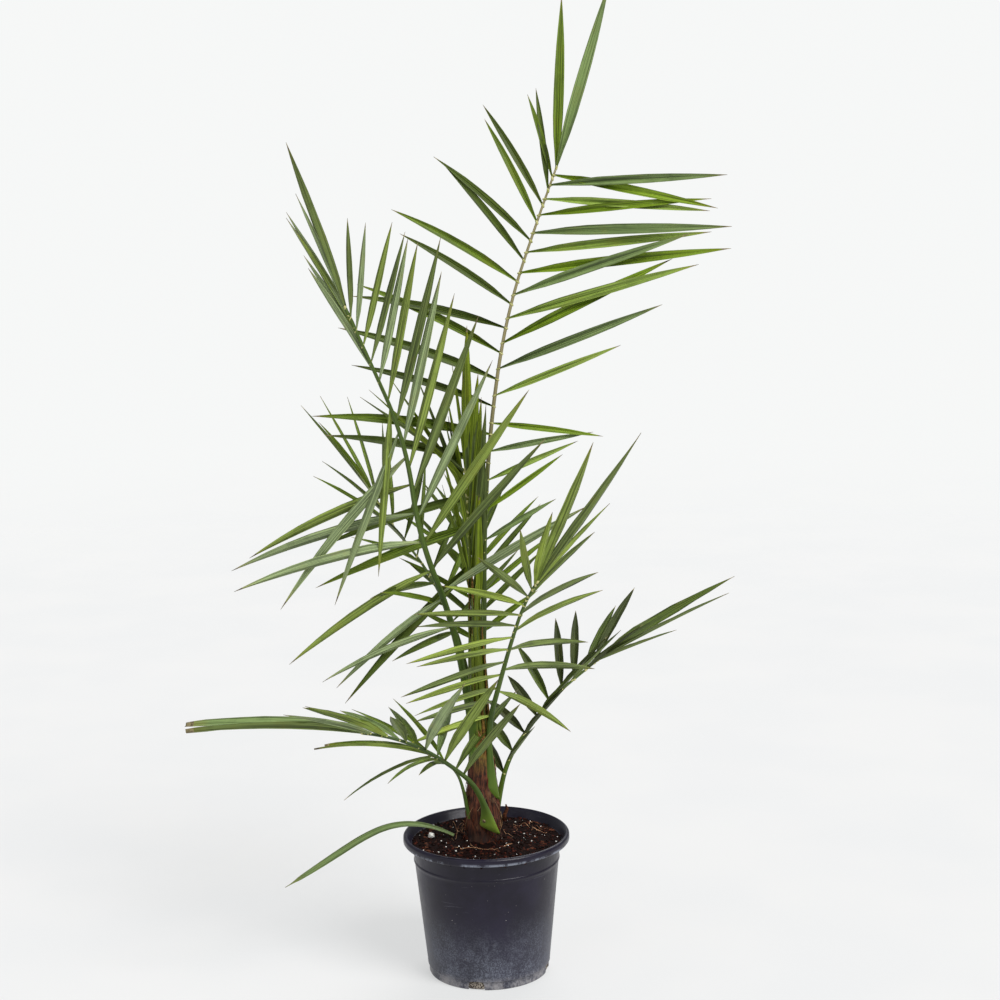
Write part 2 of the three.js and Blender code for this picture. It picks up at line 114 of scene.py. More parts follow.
class NodeMaker:
    def __init__(self, tree):
        self.tree = tree

    def find(self, sockets, key):
        if isinstance(key, int):
            return sockets[key]
        return next(socket for socket in sockets if socket.name == key and socket.enabled)

    def add(self, kind, settings=None, sockets=None, out=None):
        node = self.tree.nodes.new(kind)
        for name, value in (settings or {}).items():
            if name == "curve":
                self.setCurve(node.mapping, value)
            else:
                setattr(node, name, value)
        for key, value in (sockets or {}).items():
            if isinstance(value, Wire):
                self.tree.links.new(value.socket, self.find(node.inputs, key))
            elif value is not None:
                self.find(node.inputs, key).default_value = value
        if out is not None:
            return Wire(self, self.find(node.outputs, out))
        shown = [socket for socket in node.outputs if socket.enabled]
        return Wire(self, shown[0]) if shown else None

    def setCurve(self, mapping, points):
        curve = mapping.curves[0]
        while len(curve.points) < len(points):
            curve.points.new(0.5, 0.5)
        for point, place in zip(curve.points, points):
            point.location = place
        mapping.update()

    def combineTwo(self, operation, first, second):
        if operation == "MULTIPLY" and isVector(first) != isVector(second):
            vector, number = (first, second) if isVector(first) else (second, first)
            return self.add("ShaderNodeVectorMath", {"operation": "SCALE"}, {0: vector, "Scale": number})
        kind = "ShaderNodeVectorMath" if isVector(first) or isVector(second) else "ShaderNodeMath"
        return self.add(kind, {"operation": operation}, {0: first, 1: second})

    def maths(self, operation, *values):
        return self.add("ShaderNodeMath", {"operation": operation}, dict(enumerate(values)))

    def vectors(self, operation, *values):
        return self.add("ShaderNodeVectorMath", {"operation": operation}, dict(enumerate(values)))

    def split(self, vector):
        x = self.add("ShaderNodeSeparateXYZ", None, {0: vector})
        return x, x.also("Y"), x.also("Z")

    def joinXYZ(self, x, y, z):
        return self.add("ShaderNodeCombineXYZ", None, {0: x, 1: y, 2: z})

    def between(self, value, low, high, toLow=0, toHigh=1):  # an eased step between two numbers
        return self.add(
            "ShaderNodeMapRange",
            {"interpolation_type": "SMOOTHSTEP"},
            {"Value": value, "From Min": low, "From Max": high, "To Min": toLow, "To Max": toHigh},
        )

    def tint(self, factor, first, second):  # two colours mixed
        return self.add("ShaderNodeMix", {"data_type": "RGBA"}, {0: factor, 6: first, 7: second}, out=2)

    def coats(self, base, *coats):  # each coat is a mask and the colour it brings
        for mask, colour in coats:
            base = self.tint(mask, base, colour)
        return base

    def place(self):  # where on the object a shader is
        return self.add("ShaderNodeTexCoord", None, None, out="Object")

    def acrossAndAlong(self):  # the two directions of the UV map
        return self.split(self.add("ShaderNodeUVMap", {"uv_map": "UVMap"}))[:2]

    def length(self, vector):
        return self.add("ShaderNodeVectorMath", {"operation": "LENGTH"}, {0: vector}, out="Value")

    def grain(self, vector, scale, detail=4.0, rough=0.55, warp=0.0):
        sockets = {"Vector": vector, "Scale": scale, "Detail": detail, "Roughness": rough, "Distortion": warp}
        return self.add("ShaderNodeTexNoise", None, sockets)

    def bump(self, height, strength, distance, below=None):
        sockets = {"Height": height, "Strength": strength, "Distance": distance, "Normal": below}
        return self.add("ShaderNodeBump", None, sockets)

    def equals(self, value, number):
        return self.maths("COMPARE", value, number, 0.5)

    # from here on for geometry trees

    def readNumber(self, name):  # an attribute of the mesh
        return self.add("GeometryNodeInputNamedAttribute", {"data_type": "FLOAT"}, {"Name": name})

    def readVector(self, name):
        return self.add("GeometryNodeInputNamedAttribute", {"data_type": "FLOAT_VECTOR"}, {"Name": name})

    def random(self, low, high, seed):
        sockets = {"Min": low, "Max": high, "Seed": seed}
        return self.add("FunctionNodeRandomValue", {"data_type": "FLOAT"}, sockets)

    def scattered(self, ground, density, seed, chosen=None):  # points strewn on a mesh
        return self.add(
            "GeometryNodeDistributePointsOnFaces",
            {"distribute_method": "RANDOM"},
            {"Mesh": ground, "Selection": chosen, "Density": density, "Seed": seed},
            out="Points",
        )

    def keep(self, geometry, name, value):  # a number for each point, read again by its name
        return self.add(
            "GeometryNodeStoreNamedAttribute",
            {"data_type": "FLOAT", "domain": "POINT"},
            {"Geometry": geometry, "Name": name, "Value": value},
        )

    def shapeOf(self, piece):
        return self.add("GeometryNodeObjectInfo", None, {"Object": piece}, out="Geometry")

    def copies(self, points, pattern, rotation=None, scale=None):  # the pattern at each point, as plain mesh
        sockets = {"Points": points, "Instance": pattern, "Rotation": rotation, "Scale": scale}
        placed = self.add("GeometryNodeInstanceOnPoints", None, sockets)
        return self.add("GeometryNodeRealizeInstances", None, {"Geometry": placed})

    def alignTo(self, axis, way, rotation=None, pivot="AUTO"):
        settings = {"axis": axis, "pivot_axis": pivot}
        return self.add("FunctionNodeAlignRotationToVector", settings, {"Rotation": rotation, "Vector": way})

    def paint(self, geometry, finish, chosen=None):
        sockets = {"Geometry": geometry, "Selection": chosen, "Material": finish}
        return self.add("GeometryNodeSetMaterial", None, sockets)


def rgb(red, green, blue):  # a colour as a screen shows it, 0 to 255
    def linear(value):
        share = value / 255
        return share / 12.92 if share <= 0.04045 else ((share + 0.055) / 1.055) ** 2.4

    return (linear(red), linear(green), linear(blue), 1.0)


def shaded(colour, factors, more=(0, 0, 0)):  # a colour made lighter, darker or warmer
    return tuple(part * factor + extra for part, factor, extra in zip(colour, factors, more)) + (1,)


def newFinish(name):
    material = bpy.data.materials.new(name)
    material.use_nodes = True
    material.node_tree.nodes.clear()
    maker = NodeMaker(material.node_tree)
    maker.material = material
    return maker


def closeFinish(maker, colour, roughness, normal, shine):
    surface = maker.add("ShaderNodeBsdfPrincipled", None, {
        "Base Color": colour, "Roughness": roughness, "Normal": normal, "Specular IOR Level": shine,
    })
    maker.add("ShaderNodeOutputMaterial", None, {"Surface": surface})
    return maker.material


plainLook = {
    "grain": (260.0, 3.0, 0.6), "steps": (0.35, 0.65), "roughness": (0.6, 0.85), "bump": (0.3, 0.0003),
    "shine": 0.07,
}


def speckled(name, dark, light, **other):  # two colours by one noise, which is its relief too
    look = {**plainLook, **other}
    maker = newFinish(name)
    speckle = maker.grain(maker.place(), *look["grain"])
    return closeFinish(
        maker,
        maker.tint(maker.between(speckle, *look["steps"]), dark, light),
        maker.between(speckle, 0.3, 0.7, *look["roughness"]),
        maker.bump(speckle, *look["bump"]),
        look["shine"],
    )


def linked(name, data):
    thing = bpy.data.objects.new(name, data)
    bpy.context.scene.collection.objects.link(thing)
    return thing


def newPiece(name, points, faces, corners=None, finishes=()):
    mesh = bpy.data.meshes.new(name)
    mesh.from_pydata([tuple(point) for point in points], [], faces)
    if corners:
        layer = mesh.uv_layers.new(name="UVMap")
        layer.data.foreach_set("uv", np.array([uv for face in corners for uv in face], "f").ravel())
    for finish in finishes:
        mesh.materials.append(finish)
    mesh.validate()
    mesh.shade_smooth()
    return linked(name, mesh)


def keepValues(piece, name, values):  # a number or a vector for each point
    vectors = isinstance(values[0], (tuple, Vector))
    attribute = piece.data.attributes.new(name, "FLOAT_VECTOR" if vectors else "FLOAT", "POINT")
    attribute.data.foreach_set("vector" if vectors else "value", np.array(values, "f").ravel())


def ringFaces(ringCount, count, first=0):  # quads between rings of the same count, and their UV corners
    faces, corners = [], []
    for row in range(ringCount - 1):
        for k in range(count):
            here = first + row * count + k
            side = first + row * count + (k + 1) % count
            faces.append((here, side, side + count, here + count))
            low, high = row / (ringCount - 1), (row + 1) / (ringCount - 1)
            near, far = k / count, (k + 1) / count
            corners.append([(near, low), (far, low), (far, high), (near, high)])
    last = first + (ringCount - 1) * count
    faces += [tuple(first + k for k in reversed(range(count))), tuple(last + k for k in range(count))]
    corners += [[(0.5, end)] * count for end in (0, 1)]
    return faces, corners


def roundRing(radius, z, sides):
    return [Vector((radius * cos(angle), radius * sin(angle), z)) * mm for angle in circle(sides)]


def ringPiece(name, skins, finishes):  # closed skins, each a list of rings, joined in one mesh
    points, faces, corners = [], [], []
    for rings in skins:
        more, moreCorners = ringFaces(len(rings), len(rings[0]), len(points))
        points += [point for ring in rings for point in ring]
        faces += more
        corners += moreCorners
    piece = newPiece(name, points, faces, corners, finishes)
    turnOutwards(piece)
    return piece


def turnOutwards(piece):
    shell = bmesh.new()
    shell.from_mesh(piece.data)
    bmesh.ops.recalc_face_normals(shell, faces=shell.faces)
    shell.to_mesh(piece.data)
    shell.free()


def tubeRings(points, sizes, sides=6):  # round rings along a bent line, without twisting
    rings = []
    across = None
    for index, point in enumerate(points):
        ahead = (points[min(index + 1, len(points) - 1)] - points[max(index - 1, 0)]).normalized()
        across = across or ahead.orthogonal().normalized()
        across = (across - ahead * across.dot(ahead)).normalized()
        up = ahead.cross(across)
        size = along(sizes, index / (len(points) - 1))
        rings.append([
            point + across * (size * cos(turn)) + up * (size * sin(turn)) for turn in circle(sides)
        ])
    return rings


def settle(piece):  # keeps what its modifiers make as its plain mesh
    piece.update_tag()
    bpy.context.view_layer.update()
    graph = bpy.context.evaluated_depsgraph_get()
    grown = piece.evaluated_get(graph)
    mesh = bpy.data.meshes.new_from_object(grown, preserve_all_data_layers=True, depsgraph=graph)
    piece.modifiers.clear()
    before = piece.data
    piece.data = mesh
    mesh.name = piece.name
    bpy.data.meshes.remove(before)


def grow(piece, tree, values):  # runs a geometry tree on a piece
    modifier = piece.modifiers.new(tree.name, "NODES")
    modifier.node_group = tree
    for item in tree.interface.items_tree:
        if item.item_type == "SOCKET" and item.in_out == "INPUT" and item.name in values:
            modifier[item.identifier] = values[item.name]
    settle(piece)


def newTree(name, inputs):  # a geometry tree: its maker, its geometry and the wires of its inputs
    tree = bpy.data.node_groups.new(name, "GeometryNodeTree")
    for way in ("INPUT", "OUTPUT"):
        tree.interface.new_socket("Geometry", in_out=way, socket_type="NodeSocketGeometry")
    kinds = {float: "NodeSocketFloat", int: "NodeSocketInt", type(None): "NodeSocketObject"}
    for label, value in inputs.items():
        socket = tree.interface.new_socket(label, in_out="INPUT", socket_type=kinds[type(value)])
        if value is not None:
            socket.default_value = value
    maker = NodeMaker(tree)
    geometry = maker.add("NodeGroupInput")
    return maker, geometry, {label: geometry.also(label) for label in inputs}


def closeTree(maker, geometry):
    maker.add("NodeGroupOutput", None, {"Geometry": geometry})
    return maker.tree


def dressed(piece, node):
    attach(piece, "root")
    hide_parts(node)


# The fronds follow the same rule as the solids. Every list is read from the frond's root to its tip and
# runs evenly between its values, in millimetres or degrees.
# side, seat: where it leaves the trunk, and how far from its middle; clasp: its width there
# thick, broad: of the rachis and of the leaflets; heading: where it leans to; lean: from upright
# roll: the turn of the whole blade; jitter: the most a leaflet strays; fork: the two end leaflets
def newFrond(name, **sizes):
    return {"name": name, "roll": [0], "broad": 1, "jitter": 4, "cutEnds": False, **sizes}


# start: where on the rachis the leaflets begin; spread: their angle from it; lift: out of the blade
# droop: how far the tip sinks; ruffle: how far neighbours differ; twist: the turn of a leaflet's own face
# tones: the leaf tones dealt to its leaflets in turn, partly painted shade and painted light: darker on sides
# turned from the key light, lighter on lit sides
def bladeSide(**sizes):
    return {"ruffle": 0, "twist": 0, **sizes}


fronds = [
    newFrond(
        "tall_frond", side=80, seat=1, height=430, length=750, clasp=15, thick=0.9, heading=[70, 35],
        lean=[15, 3, 9, 15, 26, 26], roll=[30, 50], seed=22, stalk="buff",
        left=bladeSide(
            start=0.24, count=17, spread=[128, 95, 80, 72, 76, 68, 56, 36, 22],
            reach=[250, 250, 225, 200, 180, 145], lift=[5, 5, 12, 8, 0], droop=[0.1], ruffle=6,
            tones=["deep", "mid", "deep"],
        ),
        right=bladeSide(
            start=0.24, count=17, spread=[58, 50, 92, 56, 60, 64, 68, 72, 78],
            reach=[120, 140, 150, 250, 282, 285, 280, 250, 220], lift=[5, 10], droop=[0.03], ruffle=4,
            tones=["bright", "pale", "silver"],
        ),
        fork=dict(half=7, turn=11, left=265, right=295, droop=0.03),
    ),
    newFrond(
        "left_frond", side=225, seat=6, height=330, length=675, clasp=22, thick=1.25, heading=[225, 205],
        lean=[13, 12, 23, 7, 24, 24], roll=[35], seed=23, stalk="green",
        left=bladeSide(
            start=0.36, count=14, spread=[74, 50, 32, 28, 32, 36, 38, 30, 15],
            reach=[225, 250, 275, 270, 255, 215, 190, 160, 130], lift=[16, 30, 40, 44, 40, 25, 10],
            droop=[0.02], tones=["silver", "deep", "mid"],
        ),
        right=bladeSide(
            start=0.25, count=14,
            spread=[84, 97, 110, 95, 80, 86, 92, 110, 128, 142, 155, 8, 5, 5, 5, 5, 6],
            reach=[170, 195, 255, 262, 270, 210, 200, 190, 160],
            lift=[-18, -12, -20, -8, -30, -40, 5, 5, 5], droop=[0.17, 0.17, 0.02],
            tones=["silver", "mid", "silver"],
        ),
        fork=dict(half=2, turn=4, left=240, right=170, droop=0.03),
    ),
    newFrond(
        "right_frond", side=310, seat=20, height=259, length=355, clasp=24, thick=1.15, heading=[300, 320],
        lean=[0, -4, 23, 22, 24, 38], roll=[-20], broad=1.35, seed=21, stalk="green",
        left=bladeSide(
            start=0.46, count=7, spread=[96, 80, 66, 58, 40, 14], reach=[130, 140, 140, 150, 160],
            lift=[-10, 10, 30], droop=[0.2, 0.1, 0.02], ruffle=8, tones=["mid", "deep", "deep"],
        ),
        right=bladeSide(
            start=0.32, count=13, spread=[96, 104, 108, 106, 98, 88, 80, 45, 20],
            reach=[112, 125, 138, 150, 158, 150, 140, 145, 158], lift=[-4, -5, 2, -12], droop=[0.04],
            ruffle=4, tones=["mid", "bright", "deep"],
        ),
        fork=dict(half=8, turn=-2, left=250, right=228, droop=-0.1),
    ),
    newFrond(
        "low_right_frond", side=15, seat=17, height=222, length=296, clasp=13, thick=0.95, heading=[45, 25],
        lean=[16, 19, 46, 49, 60, 60], roll=[20], broad=1.55, seed=14, stalk="green",
        left=bladeSide(
            start=0.22, count=9, spread=[48, 68, 68, 70, 58, 50, 40, 30, 20],
            reach=[78, 96, 112, 128, 140, 140, 140, 150, 175], lift=[-24, -12, 3, 6, 0], droop=[0.1],
            ruffle=4, tones=["shade", "deep", "shade"],
        ),
        right=bladeSide(
            start=0.22, count=7, spread=[40, 28, 24, 25, 22], reach=[60, 98, 115, 108, 126],
            lift=[50, 40, 65, 60, 15], droop=[0.02], ruffle=8, twist=40, tones=["shade", "deep"],
        ),
        fork=dict(half=3, turn=-10, left=245, right=220, droop=0.03),
    ),
    newFrond(
        "low_left_frond", side=286, seat=28, height=212, length=283, clasp=34, thick=1.35,
        heading=[262, 225, 213, 207, 201, 195], lean=[8, 25, 48, 54, 66, 80], broad=1.55, seed=14,
        stalk="pale", cutEnds=True,
        left=bladeSide(
            start=0.38, count=6, spread=[68, 66, 63, 34, 24], reach=[156, 205, 225, 182, 140],
            lift=[45, 42, 18, 26, 20], droop=[0.03], twist=30, tones=["deep", "mid", "silver"],
        ),
        right=bladeSide(
            start=0.38, count=6, spread=[108, 106, 78, 48, 30], reach=[190, 170, 110, 115, 160],
            lift=[65, 48, 5, 8, 0], droop=[0.08], twist=30, tones=["deep", "silver"],
        ),
        fork=dict(half=6, turn=-14, left=243, right=250, droop=0.12),
    ),
    newFrond(
        "back_left_frond", side=145, seat=4, height=372, length=363, clasp=14, thick=0.85,
        heading=[140, 150], lean=[15, 16, 31, 46, 34], seed=13, stalk="green",
        left=bladeSide(
            start=0.35, count=8, spread=[85, 75, 65, 30], reach=[165, 180, 185, 165], lift=[5, 15, 35],
            droop=[0.08], ruffle=6, tones=["deep", "mid"],
        ),
        right=bladeSide(
            start=0.35, count=8, spread=[65, 50, 40, 24], reach=[165, 170, 150, 155], lift=[25, 35, 30],
            droop=[0], ruffle=6, tones=["deep", "mid"],
        ),
        fork=dict(half=9, turn=6, left=170, right=172, droop=0),
    ),
    newFrond(
        "spear_frond", side=100, seat=0, height=500.3, length=235, clasp=9, thick=0.8, heading=[150],
        lean=[14, 2, 1, 4], roll=[60], broad=1.4, seed=7, stalk="young",
        left=bladeSide(
            start=0.08, count=9, spread=[22, 14, 10, 8, 6], reach=[190, 225, 180, 150], lift=[10, 0],
            droop=[0], twist=20, tones=["young", "deep"],
        ),
        right=bladeSide(
            start=0.08, count=9, spread=[14, 10, 10, 30, 48], reach=[180, 200, 210, 200],
            lift=[0, -10, -30, -60], droop=[0], twist=20, tones=["young", "young", "deep"],
        ),
        fork=dict(half=7, turn=2, left=205, right=150, droop=0),
    ),
    newFrond(
        "second_low_left_frond", side=215, seat=20, height=226, length=126, clasp=14, thick=1,
        heading=[200, 185], lean=[21, 8, 17, 48, 70], broad=1.2, seed=12, stalk="green", cutEnds=True,
        left=bladeSide(
            start=0.72, count=3, spread=[55, 36], reach=[120, 165], lift=[10, -45], droop=[0.25], twist=30,
            tones=["deep", "mid"],
        ),
        right=bladeSide(
            start=0.72, count=2, spread=[50, 35], reach=[120, 140], lift=[30, 10], droop=[0.1], twist=30,
            tones=["mid"],
        ),
        fork=dict(half=4, turn=3, left=175, right=158, droop=0.22),
    ),
    newFrond(
        "back_frond", side=90, seat=4, height=345, length=320, clasp=14, thick=0.85, heading=[85, 100],
        lean=[14, 22, 38, 55], jitter=6, seed=9, stalk="green",
        left=bladeSide(
            start=0.42, count=8, spread=[60, 50, 38, 22], reach=[110, 150, 150, 110], lift=[20],
            droop=[0.05], ruffle=5, tones=["mid", "deep"],
        ),
        right=bladeSide(
            start=0.42, count=8, spread=[60, 50, 38, 22], reach=[110, 150, 150, 110], lift=[20],
            droop=[0.05], ruffle=5, tones=["mid", "deep"],
        ),
        fork=dict(half=7, turn=0, left=140, right=125, droop=0.03),
    ),
]

# profile: height above the soil and radius there
trunk = {
    "x": -4, "y": 0, "lean": -5, "foot": 196.3, "top": 500, "rounding": 0.3,
    "profile": [[0, 29], [14, 27], [54, 25.5], [104, 21], [154, 16], [214, 13], [264, 11], [303.7, 8]],
}
rachis = {
    "rootDepth": 7.5, "rootShare": 0.2, "rootCurve": 1.5, "neckWidth": 9, "neckDepth": 7, "tipWidth": 3.4,
    "tipDepth": 3, "steps": 90, "sides": 18, "channel": 0.34, "channelFade": 0.6, "footShare": 0.05,
    "footWidth": 0.12, "spots": rgb(88, 62, 38),
}
leaflet = {
    "slenderness": 0.066, "leastWidth": 10.5, "crowding": 1.3, "lastSeat": 0.985, "reachSpread": 0.1,
    "clearance": 9, "swings": [0, 6, -6, 12, -12, 18, -18, 24, -24], "lineSteps": 48,
    "firstLeft": 0.1, "firstRight": 0.5, "lastGap": 0.4,
}


def directions(frond, place):  # which way the frond runs, its left side and its upper face
    lean = radians(along(frond["lean"], place))
    heading = radians(along(frond["heading"], place))
    ahead = Vector((sin(lean) * cos(heading), sin(lean) * sin(heading), cos(lean)))
    left = Quaternion(ahead, radians(along(frond["roll"], place))) @ compass(heading)[1]
    return ahead, left, ahead.cross(left)


def middleLine(frond):
    side = radians(frond["side"])
    steps = leaflet["lineSteps"]
    x = trunk["x"] + frond["seat"] * cos(side)
    y = trunk["y"] + frond["seat"] * sin(side)
    points = [Vector((x, y, frond["height"]))]
    for i in range(steps):
        points.append(points[-1] + directions(frond, (i + 0.5) / steps)[0] * (frond["length"] / steps))
    return points


def pointAt(line, place):
    at = min(max(place, 0), 1) * (len(line) - 1)
    index = min(floor(at), len(line) - 2)
    return line[index].lerp(line[index + 1], at - index)


def rachisSize(frond, place):  # it narrows evenly to its tip, and its base flares where it clasps the trunk
    flare = max(0, 1 - place / rachis["rootShare"]) ** rachis["rootCurve"]
    width = blendOf(rachis["neckWidth"], rachis["tipWidth"], place) * frond["thick"]
    depth = blendOf(rachis["neckDepth"], rachis["tipDepth"], place) * frond["thick"]
    return blendOf(width, frond["clasp"], flare), blendOf(depth, rachis["rootDepth"] * frond["thick"], flare)


def leafletPath(frond, line, plan, swing):
    ahead, left, face = directions(frond, plan["place"])
    spread = radians(plan["spread"])
    lift = radians(plan["lift"] + swing)
    outward = left * (plan["hand"] * cos(lift)) + face * sin(lift)
    way = ahead * cos(spread) + outward * sin(spread)
    turn = Quaternion(way, radians(plan["hand"] * plan["twist"]))
    return {**plan, "root": pointAt(line, plan["place"]), "way": way, "face": turn @ face}


def pathPoint(path, share):
    sunk = path["droop"] * path["reach"] * share ** 2
    return path["root"] + path["way"] * (path["reach"] * share) - upward * sunk


def sidePlans(frond, sizes, hand, roll):
    first = leaflet["firstLeft"] if hand > 0 else leaflet["firstRight"]
    plans = []
    for i in range(sizes["count"]):
        order = (i + first) / (sizes["count"] - leaflet["lastGap"])
        share = 1 - (1 - order) ** leaflet["crowding"]
        ruffle = (1 if i % 2 == 0 else -1) * sizes["ruffle"]
        plans.append({
            "place": blendOf(sizes["start"], leaflet["lastSeat"], share),
            "hand": hand,
            "spread": along(sizes["spread"], order) + ruffle + frond["jitter"] * roll(),
            "reach": along(sizes["reach"], order) * (1 + leaflet["reachSpread"] * roll()),
            "lift": along(sizes["lift"], order) + frond["jitter"] * roll(),
            "droop": along(sizes["droop"], order),
            "twist": sizes["twist"],
        })
    return plans


def leafletPlans(frond):  # both sides, then the two long end leaflets
    roll = dice(frond["seed"])
    fork = frond["fork"]
    plans = sidePlans(frond, frond["left"], 1, roll) + sidePlans(frond, frond["right"], -1, roll)
    for hand, side in ((1, "left"), (-1, "right")):
        plans.append({
            "place": 1, "hand": hand, "spread": fork["half"] + hand * fork["turn"], "reach": fork[side],
            "lift": 0, "droop": fork["droop"], "twist": frond[side]["twist"],
        })
    return plans


shares = [i / 10 for i in range(1, 11)]


def nearest(path, taken):  # how near a path comes to what other fronds have taken
    if not len(taken):
        return 1e9
    mine = np.array([pathPoint(path, share) for share in shares])
    return sqrt(((mine[:, None, :] - taken[None, :, :]) ** 2).sum(2).min())


def layOut(frond, taken):  # the frond's line and its leaflets' paths, swung clear of the earlier fronds
    line = middleLine(frond)
    own = [tuple(point) for point in line]
    paths = []
    for plan in leafletPlans(frond):
        swings = [leafletPath(frond, line, plan, swing) for swing in leaflet["swings"]]
        gaps = [nearest(path, taken) for path in swings]
        free = [path for path, gap in zip(swings, gaps) if gap > leaflet["clearance"]]
        path = free[0] if free else swings[gaps.index(max(gaps))]
        own += [tuple(pathPoint(path, share)) for share in shares]
        paths.append(path)
    return line, paths, own


# upper face, lower face, gloss from 0 to 1. The darker tones (shade, deep) and the lighter ones (bright,
# pale) are partly the leaflets' own colour and partly painted shade and painted light: a side of a frond
# turned from the key light is dealt darker tones, and a lit side lighter ones
leafTones = {
    "shade": {"top": rgb(34, 44, 14), "under": rgb(50, 60, 28), "gloss": 0.6},
    "deep": {"top": rgb(55, 70, 20), "under": rgb(77, 90, 46), "gloss": 0.6},
    "mid": {"top": rgb(76, 95, 22), "under": rgb(99, 114, 50), "gloss": 0.55},
    "bright": {"top": rgb(93, 115, 24), "under": rgb(114, 130, 52), "gloss": 0.5},
    "silver": {"top": rgb(90, 107, 64), "under": rgb(110, 124, 86), "gloss": 0.8},
    "pale": {"top": rgb(112, 132, 58), "under": rgb(126, 142, 76), "gloss": 0.6},
    "young": {"top": rgb(79, 98, 8), "under": rgb(98, 115, 24), "gloss": 0.5},
}
toneNames = list(leafTones)
leafDetail = {
    "veinsAndSheen": 11.0, "fineVeins": 34.0, "blotch": 26.0, "relief": 0.0007, "shine": 0.17,
    # what the leaf's colour is multiplied by, and what is added; the light colour is the pale streak colour,
    # partly painted highlight, and the yellowed colour also paints sheen along the edges
    "light": [(2.3, 2.3, 2.3), (0.03, 0.03, 0.01)],
    "dark": [(0.42, 0.42, 0.42)],
    "agedAndSheen": [(1.7, 1.25, 0.9), (0.03, 0.02, 0)],
}


def leafFinish(name, colour, gloss):
    maker = newFinish(name)
    across, length = maker.acrossAndAlong()
    chance = maker.add("ShaderNodeAttribute", {"attribute_name": "chance"}, None, out="Fac")
    veinsAndSheen = maker.grain(maker.joinXYZ(across * leafDetail["veinsAndSheen"], length * 1.3, chance * 7), 1.0, 3.0)
    fine = maker.grain(maker.joinXYZ(across * leafDetail["fineVeins"], length * 2, chance * 9), 1.0, 2.0)
    blotch = maker.grain(maker.place(), leafDetail["blotch"], 5.0, 0.6)
    middle = maker.maths("ABSOLUTE", across - 0.5)
    light, dark, agedAndSheen = (shaded(colour, *leafDetail[key]) for key in ("light", "dark", "agedAndSheen"))
    # the light streaks, the pale line along the midrib and the pale edge lines are partly the leaf's own
    # paler veins and partly painted highlight, the sheen along its folds and edges
    base = maker.coats(
        maker.tint(maker.between(veinsAndSheen, 0.4, 0.6), dark, light),
        (0.12, colour),
        (maker.between(fine, 0.4, 0.7, 0, 0.5), light),
        (maker.between(blotch, 0.52, 0.74, 0, 0.4), agedAndSheen),
        (maker.between(blotch, 0.5, 0.28, 0, 0.45), dark),
        (maker.between(middle, 0.05, 0.015, 0, 0.8), light),
        (maker.between(middle, 0.47, 0.5, 0, 0.5), agedAndSheen),
        (maker.between(length, 0.84, 0.99, 0, 0.75), agedAndSheen),
    )
    return closeFinish(
        maker,
        maker.tint(maker.between(chance, 0, 1, 0, 0.42), base, maker.tint(0.5, base, dark)),
        maker.between(veinsAndSheen, 0.3, 0.7, 0.56 - 0.28 * gloss, 0.68 - 0.22 * gloss),
        maker.bump(veinsAndSheen + fine * 0.4, 0.35, leafDetail["relief"]),
        leafDetail["shine"],
    )


leafFinishes = [
    (
        leafFinish(f"{name}LeafTop", tone["top"], tone["gloss"]),
        leafFinish(f"{name}LeafUnder", tone["under"], tone["gloss"] * 0.6),
    )
    for name, tone in leafTones.items()
]
dryTip = speckled(
    "dryTip", rgb(78, 66, 42), rgb(150, 138, 100),
    grain=(160.0, 4.0, 0.65), roughness=(0.65, 0.9), bump=(0.4, 0.0005), shine=0.35,
)

# section: across and upper or lower side, from edge to edge above and back underneath
# outline: half its width along its length; cutOutline: of the leaflets that were trimmed
blade = {
    "stations": [0, 0.035, 0.09, 0.17, 0.28, 0.42, 0.56, 0.69, 0.8, 0.89, 0.955, 1],
    "section": [(-1, 0), (-0.55, 1), (0, 1), (0.55, 1), (1, 0), (0.55, -1), (0, -1), (-0.55, -1)],
    "outline": [
        (0, 0.3), (0.09, 0.55), (0.28, 1), (0.45, 0.97), (0.66, 0.78), (0.84, 0.44), (0.95, 0.16), (1, 0.025),
    ],
    "cutOutline": [(0, 0.3), (0.09, 0.55), (0.28, 1), (0.6, 0.84), (0.9, 0.62), (1, 0.46)],
    "rootFold": 54.0, "tipFold": 17.0, "arch": 0.22, "thickness": 0.0005, "keel": 0.0007,
    "turn": 26.0, "bow": 0.025, "wave": 0.05, "waves": 21.0, "opening": 0.45, "foldSpread": 0.3,
}


def bladeCorners(faces, shape):  # the UV of each corner, from its point's place across and along
    return [[(shape[p][0] / 2 + 0.5, shape[p][1]) for p in face] for face in faces]


def makeBlade():  # one straight leaflet: across, along and upper or lower side are kept in its points
    count = len(blade["section"])
    points = [(u, t, v) for t in blade["stations"] for u, v in blade["section"]]
    faces = ringFaces(len(blade["stations"]), count)[0]
    piece = newPiece("bladePattern", points, faces, bladeCorners(faces, points))
    keepValues(piece, "shape", points)
    tip = len(faces) - 2 - count  # from this face on it has the dry finish
    part = piece.data.attributes.new("part", "INT", "FACE")
    part.data.foreach_set("value", [
        2 if index >= tip else int(index % count >= count // 2) for index in range(len(faces))
    ])
    sharp = piece.data.attributes.new("sharp_edge", "BOOLEAN", "EDGE")
    sharp.data.foreach_set("value", [  # the folds and both edges stay crisp
        abs(edge.vertices[0] - edge.vertices[1]) == count and edge.vertices[0] % 2 == 0
        for edge in piece.data.edges
    ])
    return piece


